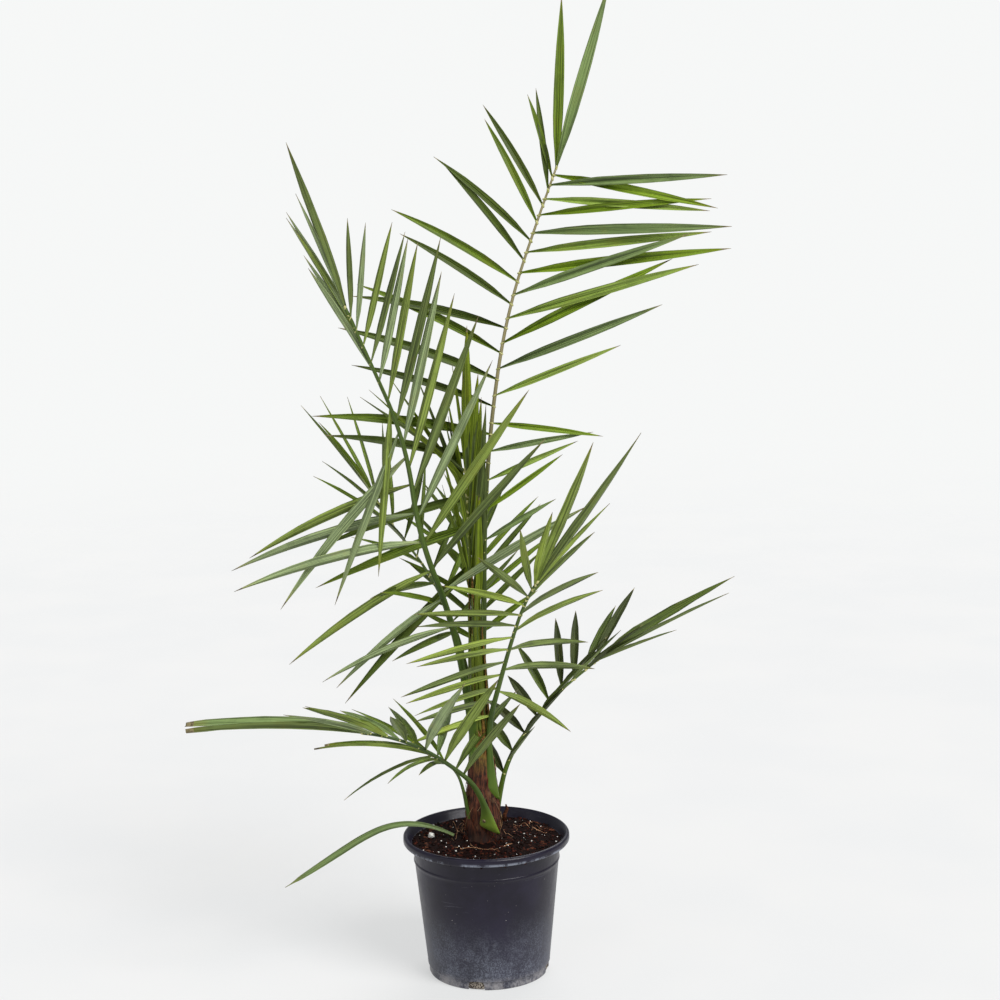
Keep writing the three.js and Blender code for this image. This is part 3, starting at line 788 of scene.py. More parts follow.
def makeLeafletTree():
    maker, plans, size = newTree("growLeaflets", {
        "blade": None, **{name: value for name, value in blade.items() if isinstance(value, float)},
    })
    blades = maker.copies(plans, maker.shapeOf(size["blade"]))
    u, t, v = maker.split(maker.readVector("shape"))
    root, way, face = (maker.readVector(name) for name in ("root", "way", "face"))
    reach, droop, chance, other = (maker.readNumber(name) for name in ("reach", "droop", "chance", "other"))
    wide, cut, part, tone = (maker.readNumber(name) for name in ("wide", "cut", "part", "tone"))
    # its own directions, turning towards the tip
    down = maker.joinXYZ(0.0, 0.0, droop * -1)
    ahead = maker.vectors("NORMALIZE", way + down * (t * 2))
    flat = maker.vectors("NORMALIZE", maker.vectors("CROSS_PRODUCT", face, ahead))
    rise = maker.vectors("CROSS_PRODUCT", ahead, flat)
    angle = t * t * other * size["turn"] * radians(1)
    turnCos = maker.maths("COSINE", angle)
    turnSin = maker.maths("SINE", angle)
    across = flat * turnCos + rise * turnSin
    up = rise * turnCos - flat * turnSin
    # its outline, fold and wave
    whole = maker.add("ShaderNodeFloatCurve", {"curve": blade["outline"]}, {"Value": t})
    cutShort = maker.add("ShaderNodeFloatCurve", {"curve": blade["cutOutline"]}, {"Value": t})
    half = (whole * (1 - cut) + cutShort * cut) * wide
    edge = maker.maths("ABSOLUTE", u)
    openness = maker.maths("POWER", t, size["opening"])
    fold = size["rootFold"] * (1 - openness) + size["tipFold"] * openness
    fold = fold * (1 + size["foldSpread"] * chance) * radians(1)
    wave = maker.maths("SINE", t * size["waves"] + chance * 9 + u * 1.3) * edge * size["wave"]
    sideways = u * half * maker.maths("COSINE", fold)
    lifted = half * (edge * maker.maths("SINE", fold) + edge * (1 - edge) * size["arch"] + wave)
    keel = (1 - edge) * (1 - t) * maker.maths("MAXIMUM", v * -1, 0.0) * size["keel"]
    skin = v * size["thickness"] * 0.5 - keel
    middle = root + way * (reach * t) + down * (reach * t * t)
    bow = across * (reach * size["bow"] * chance * t * t)
    position = middle + bow + across * sideways + up * (lifted + skin)
    moved = maker.add("GeometryNodeSetPosition", None, {"Geometry": blades, "Position": position})
    painted = maker.paint(moved, dryTip)
    for index, pair in enumerate(leafFinishes):
        for side, finish in enumerate(pair):
            painted = maker.paint(painted, finish, maker.equals(tone, index) * maker.equals(part, side))
    return closeTree(maker, painted)


def leafletPoints(name, frond, paths):  # one point for each leaflet, with what the tree reads from it
    roll = dice(frond["seed"] + 50)
    rows = []
    for index, path in enumerate(paths):
        tones = frond["left" if path["hand"] > 0 else "right"]["tones"]
        width = max(path["reach"] * leaflet["slenderness"], leaflet["leastWidth"]) * frond["broad"]
        rows.append({
            "root": path["root"] * mm,
            "way": path["way"],
            "face": path["face"],
            "reach": path["reach"] * mm,
            "droop": path["droop"],
            "wide": width / 2 * mm,
            "chance": roll() * 0.5 + 0.5,
            "other": roll(),
            "tone": toneNames.index(tones[index % len(tones)]),
            "cut": float(frond["cutEnds"] and path["place"] == 1),
        })
    piece = newPiece(name, [row["root"] for row in rows], [])
    for key in rows[0]:
        keepValues(piece, key, [row[key] for row in rows])
    return piece


# sides, upper channel, far half of the upper channel, base
stalkTones = {
    "green": [rgb(54, 76, 24), rgb(84, 106, 34), rgb(88, 108, 46), rgb(82, 106, 32)],
    "buff": [rgb(74, 84, 38), rgb(72, 88, 38), rgb(146, 136, 98), rgb(64, 78, 32)],
    "pale": [rgb(62, 82, 32), rgb(80, 100, 40), rgb(66, 84, 42), rgb(118, 142, 52)],
    "young": [rgb(88, 104, 24), rgb(106, 120, 32), rgb(106, 120, 32), rgb(90, 102, 30)],
}


def stalkFinish(name):
    side, near, far, base = stalkTones[name]
    maker = newFinish(f"{name}Stalk")
    around, length = maker.acrossAndAlong()
    streaks = maker.grain(maker.joinXYZ(around * 14, length * 7, 0.0), 1.0, 4.0, 0.6)
    mottle = maker.grain(maker.place(), 70.0, 5.0, 0.62)
    upper = maker.between(maker.maths("ABSOLUTE", around - 0.25), 0.2, 0.13)
    farther = maker.between(length, 0.3, 0.55)
    channel = maker.tint(farther, near, far)
    colour = maker.coats(
        side,
        (maker.between(streaks, 0.35, 0.66, 0, 0.6), channel),
        (upper + farther * 0.5, channel),
        (maker.between(streaks, 0.56, 0.3, 0, 0.5), shaded(side, (0.6, 0.6, 0.6))),
        (maker.between(length + (streaks - 0.5) * 0.08, 0.2, 0.02, 0, 0.95), base),
        (maker.between(mottle, 0.64, 0.74, 0, 0.6), rachis["spots"]),
    )
    return closeFinish(
        maker,
        colour,
        maker.between(streaks, 0.3, 0.7, 0.34, 0.52),
        maker.bump(streaks, 0.35, 0.0008, maker.bump(mottle, 0.15, 0.0008)),
        0.25,
    )


stalkFinishes = {name: stalkFinish(name) for name in stalkTones}

# where the foot of a frond runs down the trunk, how high it ends
sheathFeet = {"left_frond": 316, "tall_frond": 330, "back_left_frond": 296, "back_frond": 290}


def stalkRings(frond, line):  # rounded below and channelled above
    rings = []
    for i in range(rachis["steps"] + 1):
        place = i / rachis["steps"]
        left, face = directions(frond, place)[1:]
        width, depth = rachisSize(frond, place)
        closing = 1
        if frond["name"] not in sheathFeet:
            closing = blendOf(rachis["footWidth"], 1, min(1, place / rachis["footShare"]))
        centre = pointAt(line, place) + left * (width * (1 - closing) / 2)
        width *= closing
        depth *= closing
        ring = []
        for angle in circle(rachis["sides"]):
            dent = rachis["channel"] * max(0, sin(angle)) ** 2 * (1 - rachis["channelFade"] * place)
            high = (sin(angle) - dent) * depth / 2
            ring.append((centre + left * (cos(angle) * width / 2) + face * high) * mm)
        rings.append(ring)
    return rings


seatSwelling = {"length": 8.0, "width": 4.2}
seatFinish = speckled(
    "leafletSeat", rgb(150, 152, 72), rgb(206, 200, 140),
    grain=(240.0, 3.0, 0.55), roughness=(0.4, 0.6), bump=(0.2, 0.0004), shine=0.5,
)


def makeSeatTree():  # the pale swellings where leaflets sit on the rachis
    maker, plans, size = newTree("growSeats", {key: seatSwelling[key] * mm for key in ("length", "width")})
    bead = maker.add("GeometryNodeMeshIcoSphere", None, {"Radius": 0.5, "Subdivisions": 2})
    scale = maker.joinXYZ(size["width"], size["width"], size["length"])
    beads = maker.copies(plans, bead, maker.alignTo("Z", maker.readVector("way")), scale)
    rounded = maker.add("GeometryNodeSetShadeSmooth", None, {"Geometry": beads})
    return closeTree(maker, maker.paint(rounded, seatFinish))


bladePattern = makeBlade()
leafletTree = makeLeafletTree()
seatTree = makeSeatTree()
taken = np.zeros((0, 3))
for frond in fronds:
    line, paths, own = layOut(frond, taken)
    taken = np.concatenate([taken, np.array(own)])
    leaflets = leafletPoints(f"{frond['name']}_leaflets", frond, paths)
    grow(leaflets, leafletTree, {"blade": bladePattern})
    seats = newPiece(f"{frond['name']}_seats", [path["root"] * mm for path in paths], [])
    keepValues(seats, "way", [path["way"] for path in paths])
    grow(seats, seatTree, {})
    stalk = ringPiece(f"{frond['name']}_stalk", [stalkRings(frond, line)], [stalkFinishes[frond["stalk"]]])
    for piece in (leaflets, seats, stalk):
        dressed(piece, frond["name"])
bpy.data.objects.remove(bladePattern)
print("fronds grown:", len(fronds))

footKnot = {
    "at": Vector((-2.5, -33.9, 233.3)), "way": Vector((-0.51, -0.83, -0.22)),
    "steps": (-1.5, 0.4, 1.2), "sizes": [3.2, 2.8, 1.3], "sides": 9,
}


def makeKnot():  # a healed brown scar on the foot of the low left frond
    line = [footKnot["at"] + footKnot["way"] * step for step in footKnot["steps"]]
    rings = tubeRings(line, footKnot["sizes"], footKnot["sides"])
    return ringPiece("low_left_frond_knot", [[[point * mm for point in ring] for ring in rings]], [dryTip])


dressed(makeKnot(), "low_left_frond")

# the first leaf, a simple blade that arches out over the rim
seedling = {
    "side": 168, "seat": 44, "height": 198, "length": 278, "heading": [172, 180],
    "lean": [64, 78, 98, 116, 123, 123, 122, 120], "roll": [-25, -40],
    "width": 14, "depth": 1.1, "fold": 0.3, "steps": 60, "tone": "silver", "chance": 0.3,
    "leastShare": 0.26, "rootShare": 0.08, "belly": 1.2, "fullness": 0.7, "pointFrom": 0.9, "point": 0.1,
}


def seedlingHalf(place):  # half its width: broadest in the middle, drawn to a point at the tip
    swell = sin(pi * 0.97 * blendOf(seedling["rootShare"], 1, place ** seedling["belly"]))
    half = seedling["width"] / 2 * max(seedling["leastShare"], swell) ** seedling["fullness"]
    return half * blendOf(1, seedling["point"], smooth(seedling["pointFrom"], 1, place))


def makeSeedling():
    line = middleLine(seedling)
    points, shape = [], []
    for i in range(seedling["steps"] + 1):
        place = i / seedling["steps"]
        left, face = directions(seedling, place)[1:]
        centre = pointAt(line, place)
        half = seedlingHalf(place)
        for u, v in blade["section"]:
            high = half * seedling["fold"] * abs(u) + v * seedling["depth"] / 2
            points.append((centre + left * (half * u) + face * high) * mm)
            shape.append((u, place))
    faces = ringFaces(seedling["steps"] + 1, len(blade["section"]))[0]
    finish = leafFinishes[toneNames.index(seedling["tone"])][0]
    piece = newPiece("seedling_leaf_blade", points, faces, bladeCorners(faces, shape), [finish])
    turnOutwards(piece)
    piece.data.set_sharp_from_angle(angle=radians(24))
    keepValues(piece, "chance", [seedling["chance"]] * len(points))
    return piece


dressed(makeSeedling(), "seedling_leaf")
print("seedling leaf made")

# the trunk is a fibrous bulb below and a bundle of leaf sheaths above
bark = {
    "rows": 150, "sides": 96, "sunk": 1.6, "neck": 0.4, "neckFrom": 230, "neckTo": 303,
    "ridges": 15, "ridge": 0.45, "wander": 2.4, "rough": 0.99, "scar": 1.3, "scarRise": 26,
    "lower": [rgb(30, 14, 10), rgb(104, 58, 38)], "lowerPatch": rgb(124, 90, 60), "darkNearSoil": rgb(26, 12, 9),
    "upper": [rgb(84, 72, 22), rgb(138, 132, 48)], "upperPatch": rgb(112, 66, 30),
}


def trunkRadius(rise):
    for (low, lowRadius), (high, highRadius) in zip(trunk["profile"], trunk["profile"][1:]):
        if rise <= high:
            share = (rise - low) / (high - low)
            return blendOf(lowRadius, highRadius, blendOf(share, smooth(0, 1, share), trunk["rounding"]))
    return trunk["profile"][-1][1]


def trunkMiddle(z):
    share = min(max((z - trunk["foot"]) / (trunk["top"] - trunk["foot"]), 0), 1)
    return Vector((trunk["x"] + trunk["lean"] * share * share, trunk["y"], z))


def barkRelief(way, angle, rise, sample):
    wander = bark["wander"] * noise.noise(Vector((way.x * 2, way.y * 2, rise / 45)))
    ridge = bark["ridge"] * sin(bark["ridges"] * angle + wander)
    rough = bark["rough"] * noise.fractal(Vector((sample.x / 5, sample.y / 5, sample.z / 22)), 0.8, 2.0, 4)
    scar = ((rise / bark["scarRise"] + angle / (2 * pi) * 3) % 1) ** 3  # old leaf bases, one above the other
    return ridge + rough + bark["scar"] * scar * smooth(120, 20, rise)


def trunkSkin():
    height = trunk["top"] - trunk["foot"]
    rings = []
    for row in range(bark["rows"] + 1):
        rise = height * row / bark["rows"]
        middle = trunkMiddle(trunk["foot"] + rise)
        neck = blendOf(1, bark["neck"], smooth(bark["neckFrom"], bark["neckTo"], rise))
        radius = (trunkRadius(rise) - bark["sunk"]) * neck
        ring = []
        for angle in circle(bark["sides"]):
            way = compass(angle)[0]
            relief = barkRelief(way, angle, rise, middle + way * radius)
            ring.append((middle + way * (radius + relief)) * mm)
        rings.append(ring)
    return rings


def trunkFinish():
    maker = newFinish("fibreBark")
    place = maker.place()
    x, y, z = maker.split(place)
    threads = maker.grain(maker.joinXYZ(x, y, z * 0.09), 620.0, 3.0, 0.6)
    patches = maker.grain(place, 46.0, 4.0, 0.6)
    byThread = maker.between(threads, 0.36, 0.64)
    lower = maker.coats(
        maker.tint(byThread, *bark["lower"]),
        (maker.between(patches, 0.52, 0.7, 0, 0.5), bark["lowerPatch"]),
        # darker towards the soil line
        (maker.between(z, 0.226, 0.204, 0, 0.8), bark["darkNearSoil"]),
    )
    upper = maker.coats(
        maker.tint(byThread, *bark["upper"]),
        (maker.between(patches, 0.46, 0.62, 0, 0.75), bark["upperPatch"]),
    )
    return closeFinish(
        maker,
        maker.tint(maker.between(z + (patches - 0.5) * 0.09, 0.29, 0.35), lower, upper),
        maker.between(threads, 0.3, 0.7, 0.7, 0.92),
        maker.bump(threads, 0.7, 0.0012, maker.bump(patches, 0.4, 0.002)),
        0.3,
    )


# thinning, darkFoot: from one height to another, and the values there
# finishes: each with the least and the greatest layer it shows in, the first under all the others
fibre = {
    "density": 8200.0, "length": 0.03, "width": 0.00038, "seed": 5, "lift": 0.0022, "ruffle": 0.004,
    "lengths": (0.4, 1.3), "widths": (0.5, 1.5), "flatness": 1.6, "leans": (0.1, 0.95),
    "thinning": (0.3, 0.22, 0.12, 1.0), "darkFoot": (0.226, 0.204, 1.0, 0.7),
    "finishes": [
        (speckled("rustFibre", rgb(54, 23, 15), rgb(112, 56, 35)), -1, 2),
        (speckled("strawFibre", rgb(132, 98, 66), rgb(196, 164, 122)), 0.76, 1.01),
        (speckled("darkFibre", rgb(28, 17, 13), rgb(58, 36, 26)), -0.01, 0.4),
    ],
}


def makeStrandPattern():  # a thin four-sided thread, one unit long
    points = [Vector((0, share - 0.5, 0)) for share in (0, 0.2, 0.4, 0.6, 0.8, 1)]
    return ringPiece("strandPattern", [tubeRings(points, [0.35, 1, 1, 0.35], 4)], [])


def makeStrandTree():  # threads laid both ways round the bulb, drawn on to its skin
    maker, skin, size = newTree("growStrands", {
        "strand": None, **{key: fibre[key] for key in ("density", "length", "width", "seed")},
    })
    here = maker.add("GeometryNodeInputPosition")
    height = maker.split(here)[2]
    density = size["density"] * maker.between(height, *fibre["thinning"])
    points = maker.scattered(skin, density, size["seed"])
    upright = maker.alignTo("Y", (0.0, 0.0, 1.0), maker.alignTo("Z", points.also("Normal")), "Z")
    lean = maker.maths("SIGN", maker.random(-1.0, 1.0, 3)) * maker.random(*fibre["leans"], 4)
    slant = maker.add("FunctionNodeAxisAngleToRotation", None, {"Axis": (0.0, 0.0, 1.0), "Angle": lean})
    turned = maker.add(
        "FunctionNodeRotateRotation", {"rotation_space": "LOCAL"}, {"Rotation": upright, "Rotate By": slant},
    )
    width = size["width"] * maker.random(*fibre["widths"], 7)
    length = size["length"] * maker.random(*fibre["lengths"], 6)
    scale = maker.joinXYZ(width, length, width * fibre["flatness"])
    # lower layers near the foot, so more strands take the dark finish there: darker towards the soil
    chance = maker.random(0.0, 1.0, 5) * maker.between(height, *fibre["darkFoot"])
    threads = maker.copies(maker.keep(points, "layer", chance), maker.shapeOf(size["strand"]), turned, scale)
    # each point goes to the nearest point of the skin, then out by its layer
    onSkin = maker.add("GeometryNodeProximity", {"target_element": "FACES"}, {0: skin}, out="Position")
    off = maker.vectors("NORMALIZE", here - onSkin) * size["width"]
    flatOut = maker.vectors("NORMALIZE", here * (1.0, 1.0, 0.0) - (trunk["x"] * mm, 0.0, 0.0))
    layer = maker.readNumber("layer")
    ruffle = maker.add("ShaderNodeTexNoise", None, {"Scale": 90.0}) - 0.5
    position = onSkin + off + flatOut * (layer * fibre["lift"] + ruffle * fibre["ruffle"])
    painted = maker.add("GeometryNodeSetPosition", None, {"Geometry": threads, "Position": position})
    for finish, low, high in fibre["finishes"]:
        chosen = maker.maths("GREATER_THAN", layer, low) * maker.maths("LESS_THAN", layer, high)
        painted = maker.paint(painted, finish, chosen)
    return closeTree(maker, painted)


sheath = {
    "steps": 30, "sides": 20, "deep": 3.0, "thin": 0.5, "joins": 0.45, "roundFrom": 0.6, "narrow": 0.8,
    "sunk": 0.4,
    "green": [rgb(60, 88, 26), rgb(104, 134, 46)], "brown": [rgb(54, 32, 20), rgb(128, 92, 54)],
}


def sheathFinish():  # green above, frayed and brown where it turns to fibre
    maker = newFinish("frayedSheath")
    around, length = maker.acrossAndAlong()
    threads = maker.grain(maker.joinXYZ(around * 40, length * 4, 0.0), 1.0, 4.0, 0.6)
    mottle = maker.grain(maker.place(), 70.0, 4.0, 0.6)
    byThread = maker.between(threads, 0.35, 0.65)
    green = maker.tint(byThread, *sheath["green"])
    brown = maker.tint(byThread, *sheath["brown"])
    frayed = maker.between(length + (threads - 0.5) * 0.34 + (mottle - 0.5) * 0.2, 0.2, 0.06)
    return closeFinish(
        maker,
        maker.tint(frayed, green, brown),
        maker.between(threads, 0.3, 0.7, 0.4, 0.65) + frayed * 0.2,
        maker.bump(threads, 0.4, 0.0008),
        0.25,
    )


def sheathRings(frond, foot):  # the flat foot of a frond, running down the bundle into the fibre
    way = compass(radians(frond["side"]))[0]
    top = middleLine(frond)[1]
    rings = []
    for i in range(sheath["steps"] + 1):
        share = i / sheath["steps"]
        z = blendOf(top.z, foot, share)
        middle = trunkMiddle(z)
        radius = trunkRadius(z - trunk["foot"]) - sheath["sunk"]
        centre = middle + way * radius
        if share < sheath["joins"]:
            centre = top.lerp(centre, smooth(0, sheath["joins"], share))
        centre.z = z
        ending = max(0, share - sheath["roundFrom"]) / (1 - sheath["roundFrom"])
        rounded = sqrt(max(0.004, 1 - ending ** 2))
        half = frond["clasp"] / 2 * blendOf(1, sheath["narrow"], share) * rounded
        deep = blendOf(sheath["deep"], sheath["thin"], share)
        ring = []
        for angle in circle(sheath["sides"]):
            turn = Quaternion(upward, cos(angle) * half / max(radius, 1))
            ring.append((middle + turn @ (centre - middle) + turn @ way * (sin(angle) * deep)) * mm)
        rings.append(ring)
    return rings[::-1]


wraps = {
    "count": 34, "seed": 77, "low": (318, 400), "length": (110, 230), "half": (1.6, 3.6), "lift": 3.2,
    "steps": 22, "sides": 8, "deep": 0.6, "sunk": 0.6, "cupped": 0.25, "slant": 0.5, "bow": 2.5,
}


def wrapRings():  # strips of young sheath and dry fibre round the top of the bundle
    roll = dice(wraps["seed"])
    skins = []
    for i in range(wraps["count"]):
        low = blendOf(*wraps["low"], roll() * 0.5 + 0.5)
        high = low + blendOf(*wraps["length"], roll() * 0.5 + 0.5)
        side = 2 * pi * (i + 0.6 * roll()) / wraps["count"]
        half = blendOf(*wraps["half"], roll() * 0.5 + 0.5)
        layer = wraps["lift"] * (roll() * 0.5 + 0.5)
        slant = wraps["slant"] * roll()
        bow = wraps["bow"] * roll()
        rings = []
        for step in range(wraps["steps"] + 1):
            share = step / wraps["steps"]
            z = blendOf(low, high, share)
            radius = trunkRadius(z - trunk["foot"]) - wraps["sunk"] + layer * smooth(0, 0.2, share)
            way, level = compass(side + slant * share)
            centre = trunkMiddle(z) + way * (radius + bow * share * share)
            wide = half * sqrt(max(0.02, 1 - (2 * share - 1) ** 4))
            ring = []
            for turn in circle(wraps["sides"]):
                out = sin(turn) * wraps["deep"] - abs(cos(turn)) * wide * wraps["cupped"]
                ring.append((centre + level * (cos(turn) * wide) + way * out) * mm)
            rings.append(ring)
        skins.append(rings)
    return skins


strandPattern = makeStrandPattern()
core = ringPiece("trunk_skin", [trunkSkin()], [trunkFinish()])
strands = linked("trunk_strands", core.data.copy())
grow(strands, makeStrandTree(), {"strand": strandPattern})
bpy.data.objects.remove(strandPattern)
sheathed = [sheathRings(frond, sheathFeet[frond["name"]]) for frond in fronds if frond["name"] in sheathFeet]
strips = wrapRings()
dryWrap = speckled("dryWrap", rgb(70, 48, 24), rgb(134, 104, 52))
for piece in (
    core,
    strands,
    ringPiece("trunk_sheaths", sheathed, [sheathFinish()]),
    ringPiece("trunk_young_wraps", strips[0::2], [stalkFinishes["young"]]),
    ringPiece("trunk_green_wraps", strips[1::4], [stalkFinishes["green"]]),
    ringPiece("trunk_dry_wraps", strips[3::4], [dryWrap]),
):
    dressed(piece, "trunk")
print("trunk made:", len(strands.data.polygons), "strand faces")

pot = {
    "height": 206, "rimRadius": 120, "shoulderRadius": 107, "footRadius": 88.5, "footHeight": 12,
    "footStep": 1.6, "wall": 2.2, "floor": 3, "lipHeight": 11.5, "lipFold": 5.5, "lipRound": 4.2,
    "beadHeight": 169, "beadSize": 1.1, "sides": 192,
    "drains": 4, "drainWidth": 24, "drainHeight": 14, "drainTurn": -102, "archSides": 24,
    "archPower": (0.5, 0.6), "cutDepth": (-12, 8),
    "plastic": [rgb(16, 12, 27), rgb(29, 25, 43)], "dust": rgb(106, 110, 122), "footDust": rgb(150, 146, 146),
    # the lip colour is a painted highlight along its lower outer edge
    "paintedLipHighlight": rgb(146, 152, 166), "scuffs": rgb(104, 106, 118), "specks": rgb(168, 164, 160),
}


def outerRadius(z):
    rise = pot["height"] - pot["lipHeight"] - pot["footHeight"]
    slope = (pot["shoulderRadius"] - pot["footRadius"]) / rise
    return pot["footRadius"] + slope * max(z - pot["footHeight"], 0)


def potProfile():  # radius and height, from the middle of the underside up the wall and back down inside
    rim, top, foot = pot["rimRadius"], pot["height"], pot["footRadius"] - pot["footStep"]
    lip = top - pot["lipHeight"]
    inner = rim - pot["lipFold"]
    inside = foot - pot["wall"]
    turn = pot["lipRound"]
    underside = [(0.4, 0), (foot * 0.5, 0), (foot - 2.4, 0), (foot - 0.7, 0.7), (foot, 2.4)]
    step = [
        (foot, 6), (foot, pot["footHeight"] - 0.8), (foot + 0.5, pot["footHeight"]),
        (pot["footRadius"] + 0.4, pot["footHeight"] + 1.6),
    ]
    wall = [(outerRadius(z), z) for z in range(18, pot["beadHeight"] - 3, 12)]
    bead = [
        (outerRadius(pot["beadHeight"] + z) + pot["beadSize"] * sin(pi * share), pot["beadHeight"] + z)
        for z, share in ((-3, 0), (-2, 0.25), (-0.5, 0.5), (1, 0.75), (2, 1))
    ]
    underLip = [
        (outerRadius(lip - 6), lip - 6), (outerRadius(lip) + 0.6, lip - 1.6), (outerRadius(lip) + 3, lip),
        (rim - 3.5, lip), (rim - 1.2, lip + 0.5), (rim - 0.2, lip + 1.8), (rim, lip + 3),
        (rim - 0.1, top - turn - 1),
    ]
    roundLip = [
        (rim - turn + turn * cos(angle), top - turn + turn * sin(angle)) for angle in circle(28)[1:8]
    ]
    overLip = [
        (inner + 0.6, top - 0.5), (inner - 0.8, top - 2), (inner - 3, top - 5),
        (outerRadius(lip - 2) - pot["wall"] + 3, lip - 3), (outerRadius(lip - 8) - pot["wall"], lip - 8),
    ]
    innerWall = [(outerRadius(z) - pot["wall"], z) for z in (150, 100, 50)]
    floorLine = [
        (inside, pot["footHeight"]), (inside, pot["floor"] + 1), (inside - 1, pot["floor"]),
        (0.4, pot["floor"]),
    ]
    return underside + step + wall + bead + underLip + roundLip + overLip + innerWall + floorLine


def drainWays():  # out and level for each notch in the foot
    return [compass(radians(pot["drainTurn"] + 360 / pot["drains"] * i)) for i in range(pot["drains"])]


def makePot():
    rings = [roundRing(radius, z, pot["sides"]) for radius, z in potProfile()]
    piece = ringPiece("pot_shell", [rings], [potFinish()])
    widthPower, heightPower = pot["archPower"]
    arch = []
    for turn in circle(pot["archSides"]):
        width = copysign(abs(cos(turn)) ** widthPower, cos(turn)) * pot["drainWidth"] / 2
        arch.append((width, copysign(abs(sin(turn)) ** heightPower, sin(turn)) * pot["drainHeight"]))
    notches = []
    for way, level in drainWays():
        notches.append([
            [(way * depth + level * width + upward * high) * mm for width, high in arch]
            for depth in (pot["footRadius"] + more for more in pot["cutDepth"])
        ])
    cutter = ringPiece("notchCutter", notches, [])
    cut = piece.modifiers.new("drains", "BOOLEAN")
    cut.operation = "DIFFERENCE"
    cut.solver = "EXACT"
    cut.object = cutter
    settle(piece)
    bpy.data.objects.remove(cutter)
    piece.data.shade_smooth()
    piece.data.set_sharp_from_angle(angle=radians(38))
    return piece


def potFinish():  # dark plastic with soil dust below, a painted highlight along the lower edge of the lip, scuffs and specks
    maker = newFinish("darkPlastic")
    place = maker.place()
    x, y, z = maker.split(place)
    cloud = maker.grain(place, 16.0, 5.0, 0.6)
    smear = maker.grain(maker.joinXYZ(x, y, z * 0.7), 42.0, 10.0, 0.8)
    powder = maker.grain(place, 430.0, 4.0, 0.8)
    speck = maker.grain(place, 330.0, 2.0, 0.5)
    scratch = maker.grain(maker.joinXYZ(x * 0.5, y * 0.5, z * 9), 34.0, 5.0, 0.7, 0.6)
    peel = maker.grain(place, 170.0, 3.0, 0.5)
    low = maker.between(z + (cloud - 0.5) * 0.08, 0.12, 0.02)
    dust = low * maker.between(smear, 0.36, 0.62, 0.3, 1.0) * maker.between(powder, 0.44, 0.6, 0.3, 1.0)
    foot = maker.between(z, 0.022, 0.006) * maker.between(smear, 0.42, 0.6)
    away = maker.length(maker.joinXYZ(x, y, 0.0))
    # a thin band round the outer lower edge of the lip, where a highlight is painted
    lip = maker.between(z, 0.1935, 0.195) * maker.between(z, 0.2, 0.1965) * maker.between(away, 0.118, 0.1185)
    colour = maker.coats(
        maker.tint(maker.between(cloud, 0.3, 0.7), *pot["plastic"]),
        (dust, pot["dust"]),
        (foot * 0.7, pot["footDust"]),
        (lip * maker.between(smear, 0.44, 0.58, 0.0, 0.7), pot["paintedLipHighlight"]),
        (maker.between(scratch, 0.64, 0.72, 0, 0.3), pot["scuffs"]),
        (maker.between(speck, 0.74, 0.78, 0, 0.6), pot["specks"]),
    )
    return closeFinish(
        maker,
        colour,
        maker.between(smear, 0.3, 0.7, 0.27, 0.42) + dust * 0.3,
        maker.bump(peel, 0.12, 0.0006, maker.bump(cloud, 0.15, 0.004)),
        0.3,
    )


plug = {
    "rows": 16, "sides": 14, "sunk": 5.5, "lift": 0.6, "overlap": 1.5, "bulge": 3.2, "tall": 0.49,
    "rough": 0.12, "seed": 19,
}


def makeDrainSoil():  # soil that shows in the notches
    roll = dice(plug["seed"])
    half = pot["drainWidth"] / 2 + plug["overlap"]
    skins = []
    for way, level in drainWays():
        middle = way * (pot["footRadius"] - plug["sunk"]) + upward * (plug["lift"] + pot["drainHeight"] * 0.5)
        rings = []
        for row in range(plug["rows"] + 1):
            place = 2 * row / plug["rows"] - 1
            size = max(0.04, sqrt(max(0, 1 - place ** 6)))
            ring = []
            for turn in circle(plug["sides"]):
                out = cos(turn) * plug["bulge"] * size * (1 + plug["rough"] * roll())
                high = sin(turn) * pot["drainHeight"] * plug["tall"] * size
                ring.append((middle + level * (place * half) + way * out + upward * high) * mm)
            rings.append(ring)
        skins.append(rings)
    gritty = speckled(
        "grittySoil", rgb(48, 40, 38), rgb(170, 160, 146),
        grain=(420.0, 4.0, 0.7), steps=(0.42, 0.6), roughness=(0.8, 1.0), bump=(0.8, 0.002), shine=0.15,
    )
    piece = ringPiece("drain_soil", skins, [gritty])
    piece.data.shade_flat()
    return piece


dressed(makePot(), "pot")
dressed(makeDrainSoil(), "soil")
print("pot made")

# moundEdge, collarEdge: the distances from the middle between which they change
soil = {
    "top": 196, "mound": 2, "moundEdge": (60, 100), "collar": 4, "collarEdge": (48, 24), "sunk": 1,
    "swell": 1.92, "swellSize": 28, "crumble": 1.3, "crumbleSize": 6,
    "floor": 3.3, "shoulder": 185, "radius": 107, "rings": 60, "sides": 120,
    "peat": [rgb(6, 2, 2), rgb(32, 14, 10)], "shreds": rgb(96, 58, 38),
}


def soilHeight(x, y):
    wide, small = soil["swellSize"], soil["crumbleSize"]
    swell = noise.fractal(Vector((x / wide, y / wide, 3)), 0.9, 2.0, 4) * soil["swell"]
    crumble = noise.fractal(Vector((x / small, y / small, 9)), 0.7, 2.0, 3) * soil["crumble"]
    collar = smooth(*soil["collarEdge"], sqrt((x - trunk["x"]) ** 2 + y * y)) * soil["collar"]
    mound = soil["mound"] * smooth(*soil["moundEdge"], sqrt(x * x + y * y))
    return soil["top"] - mound + swell + crumble + collar - soil["sunk"]


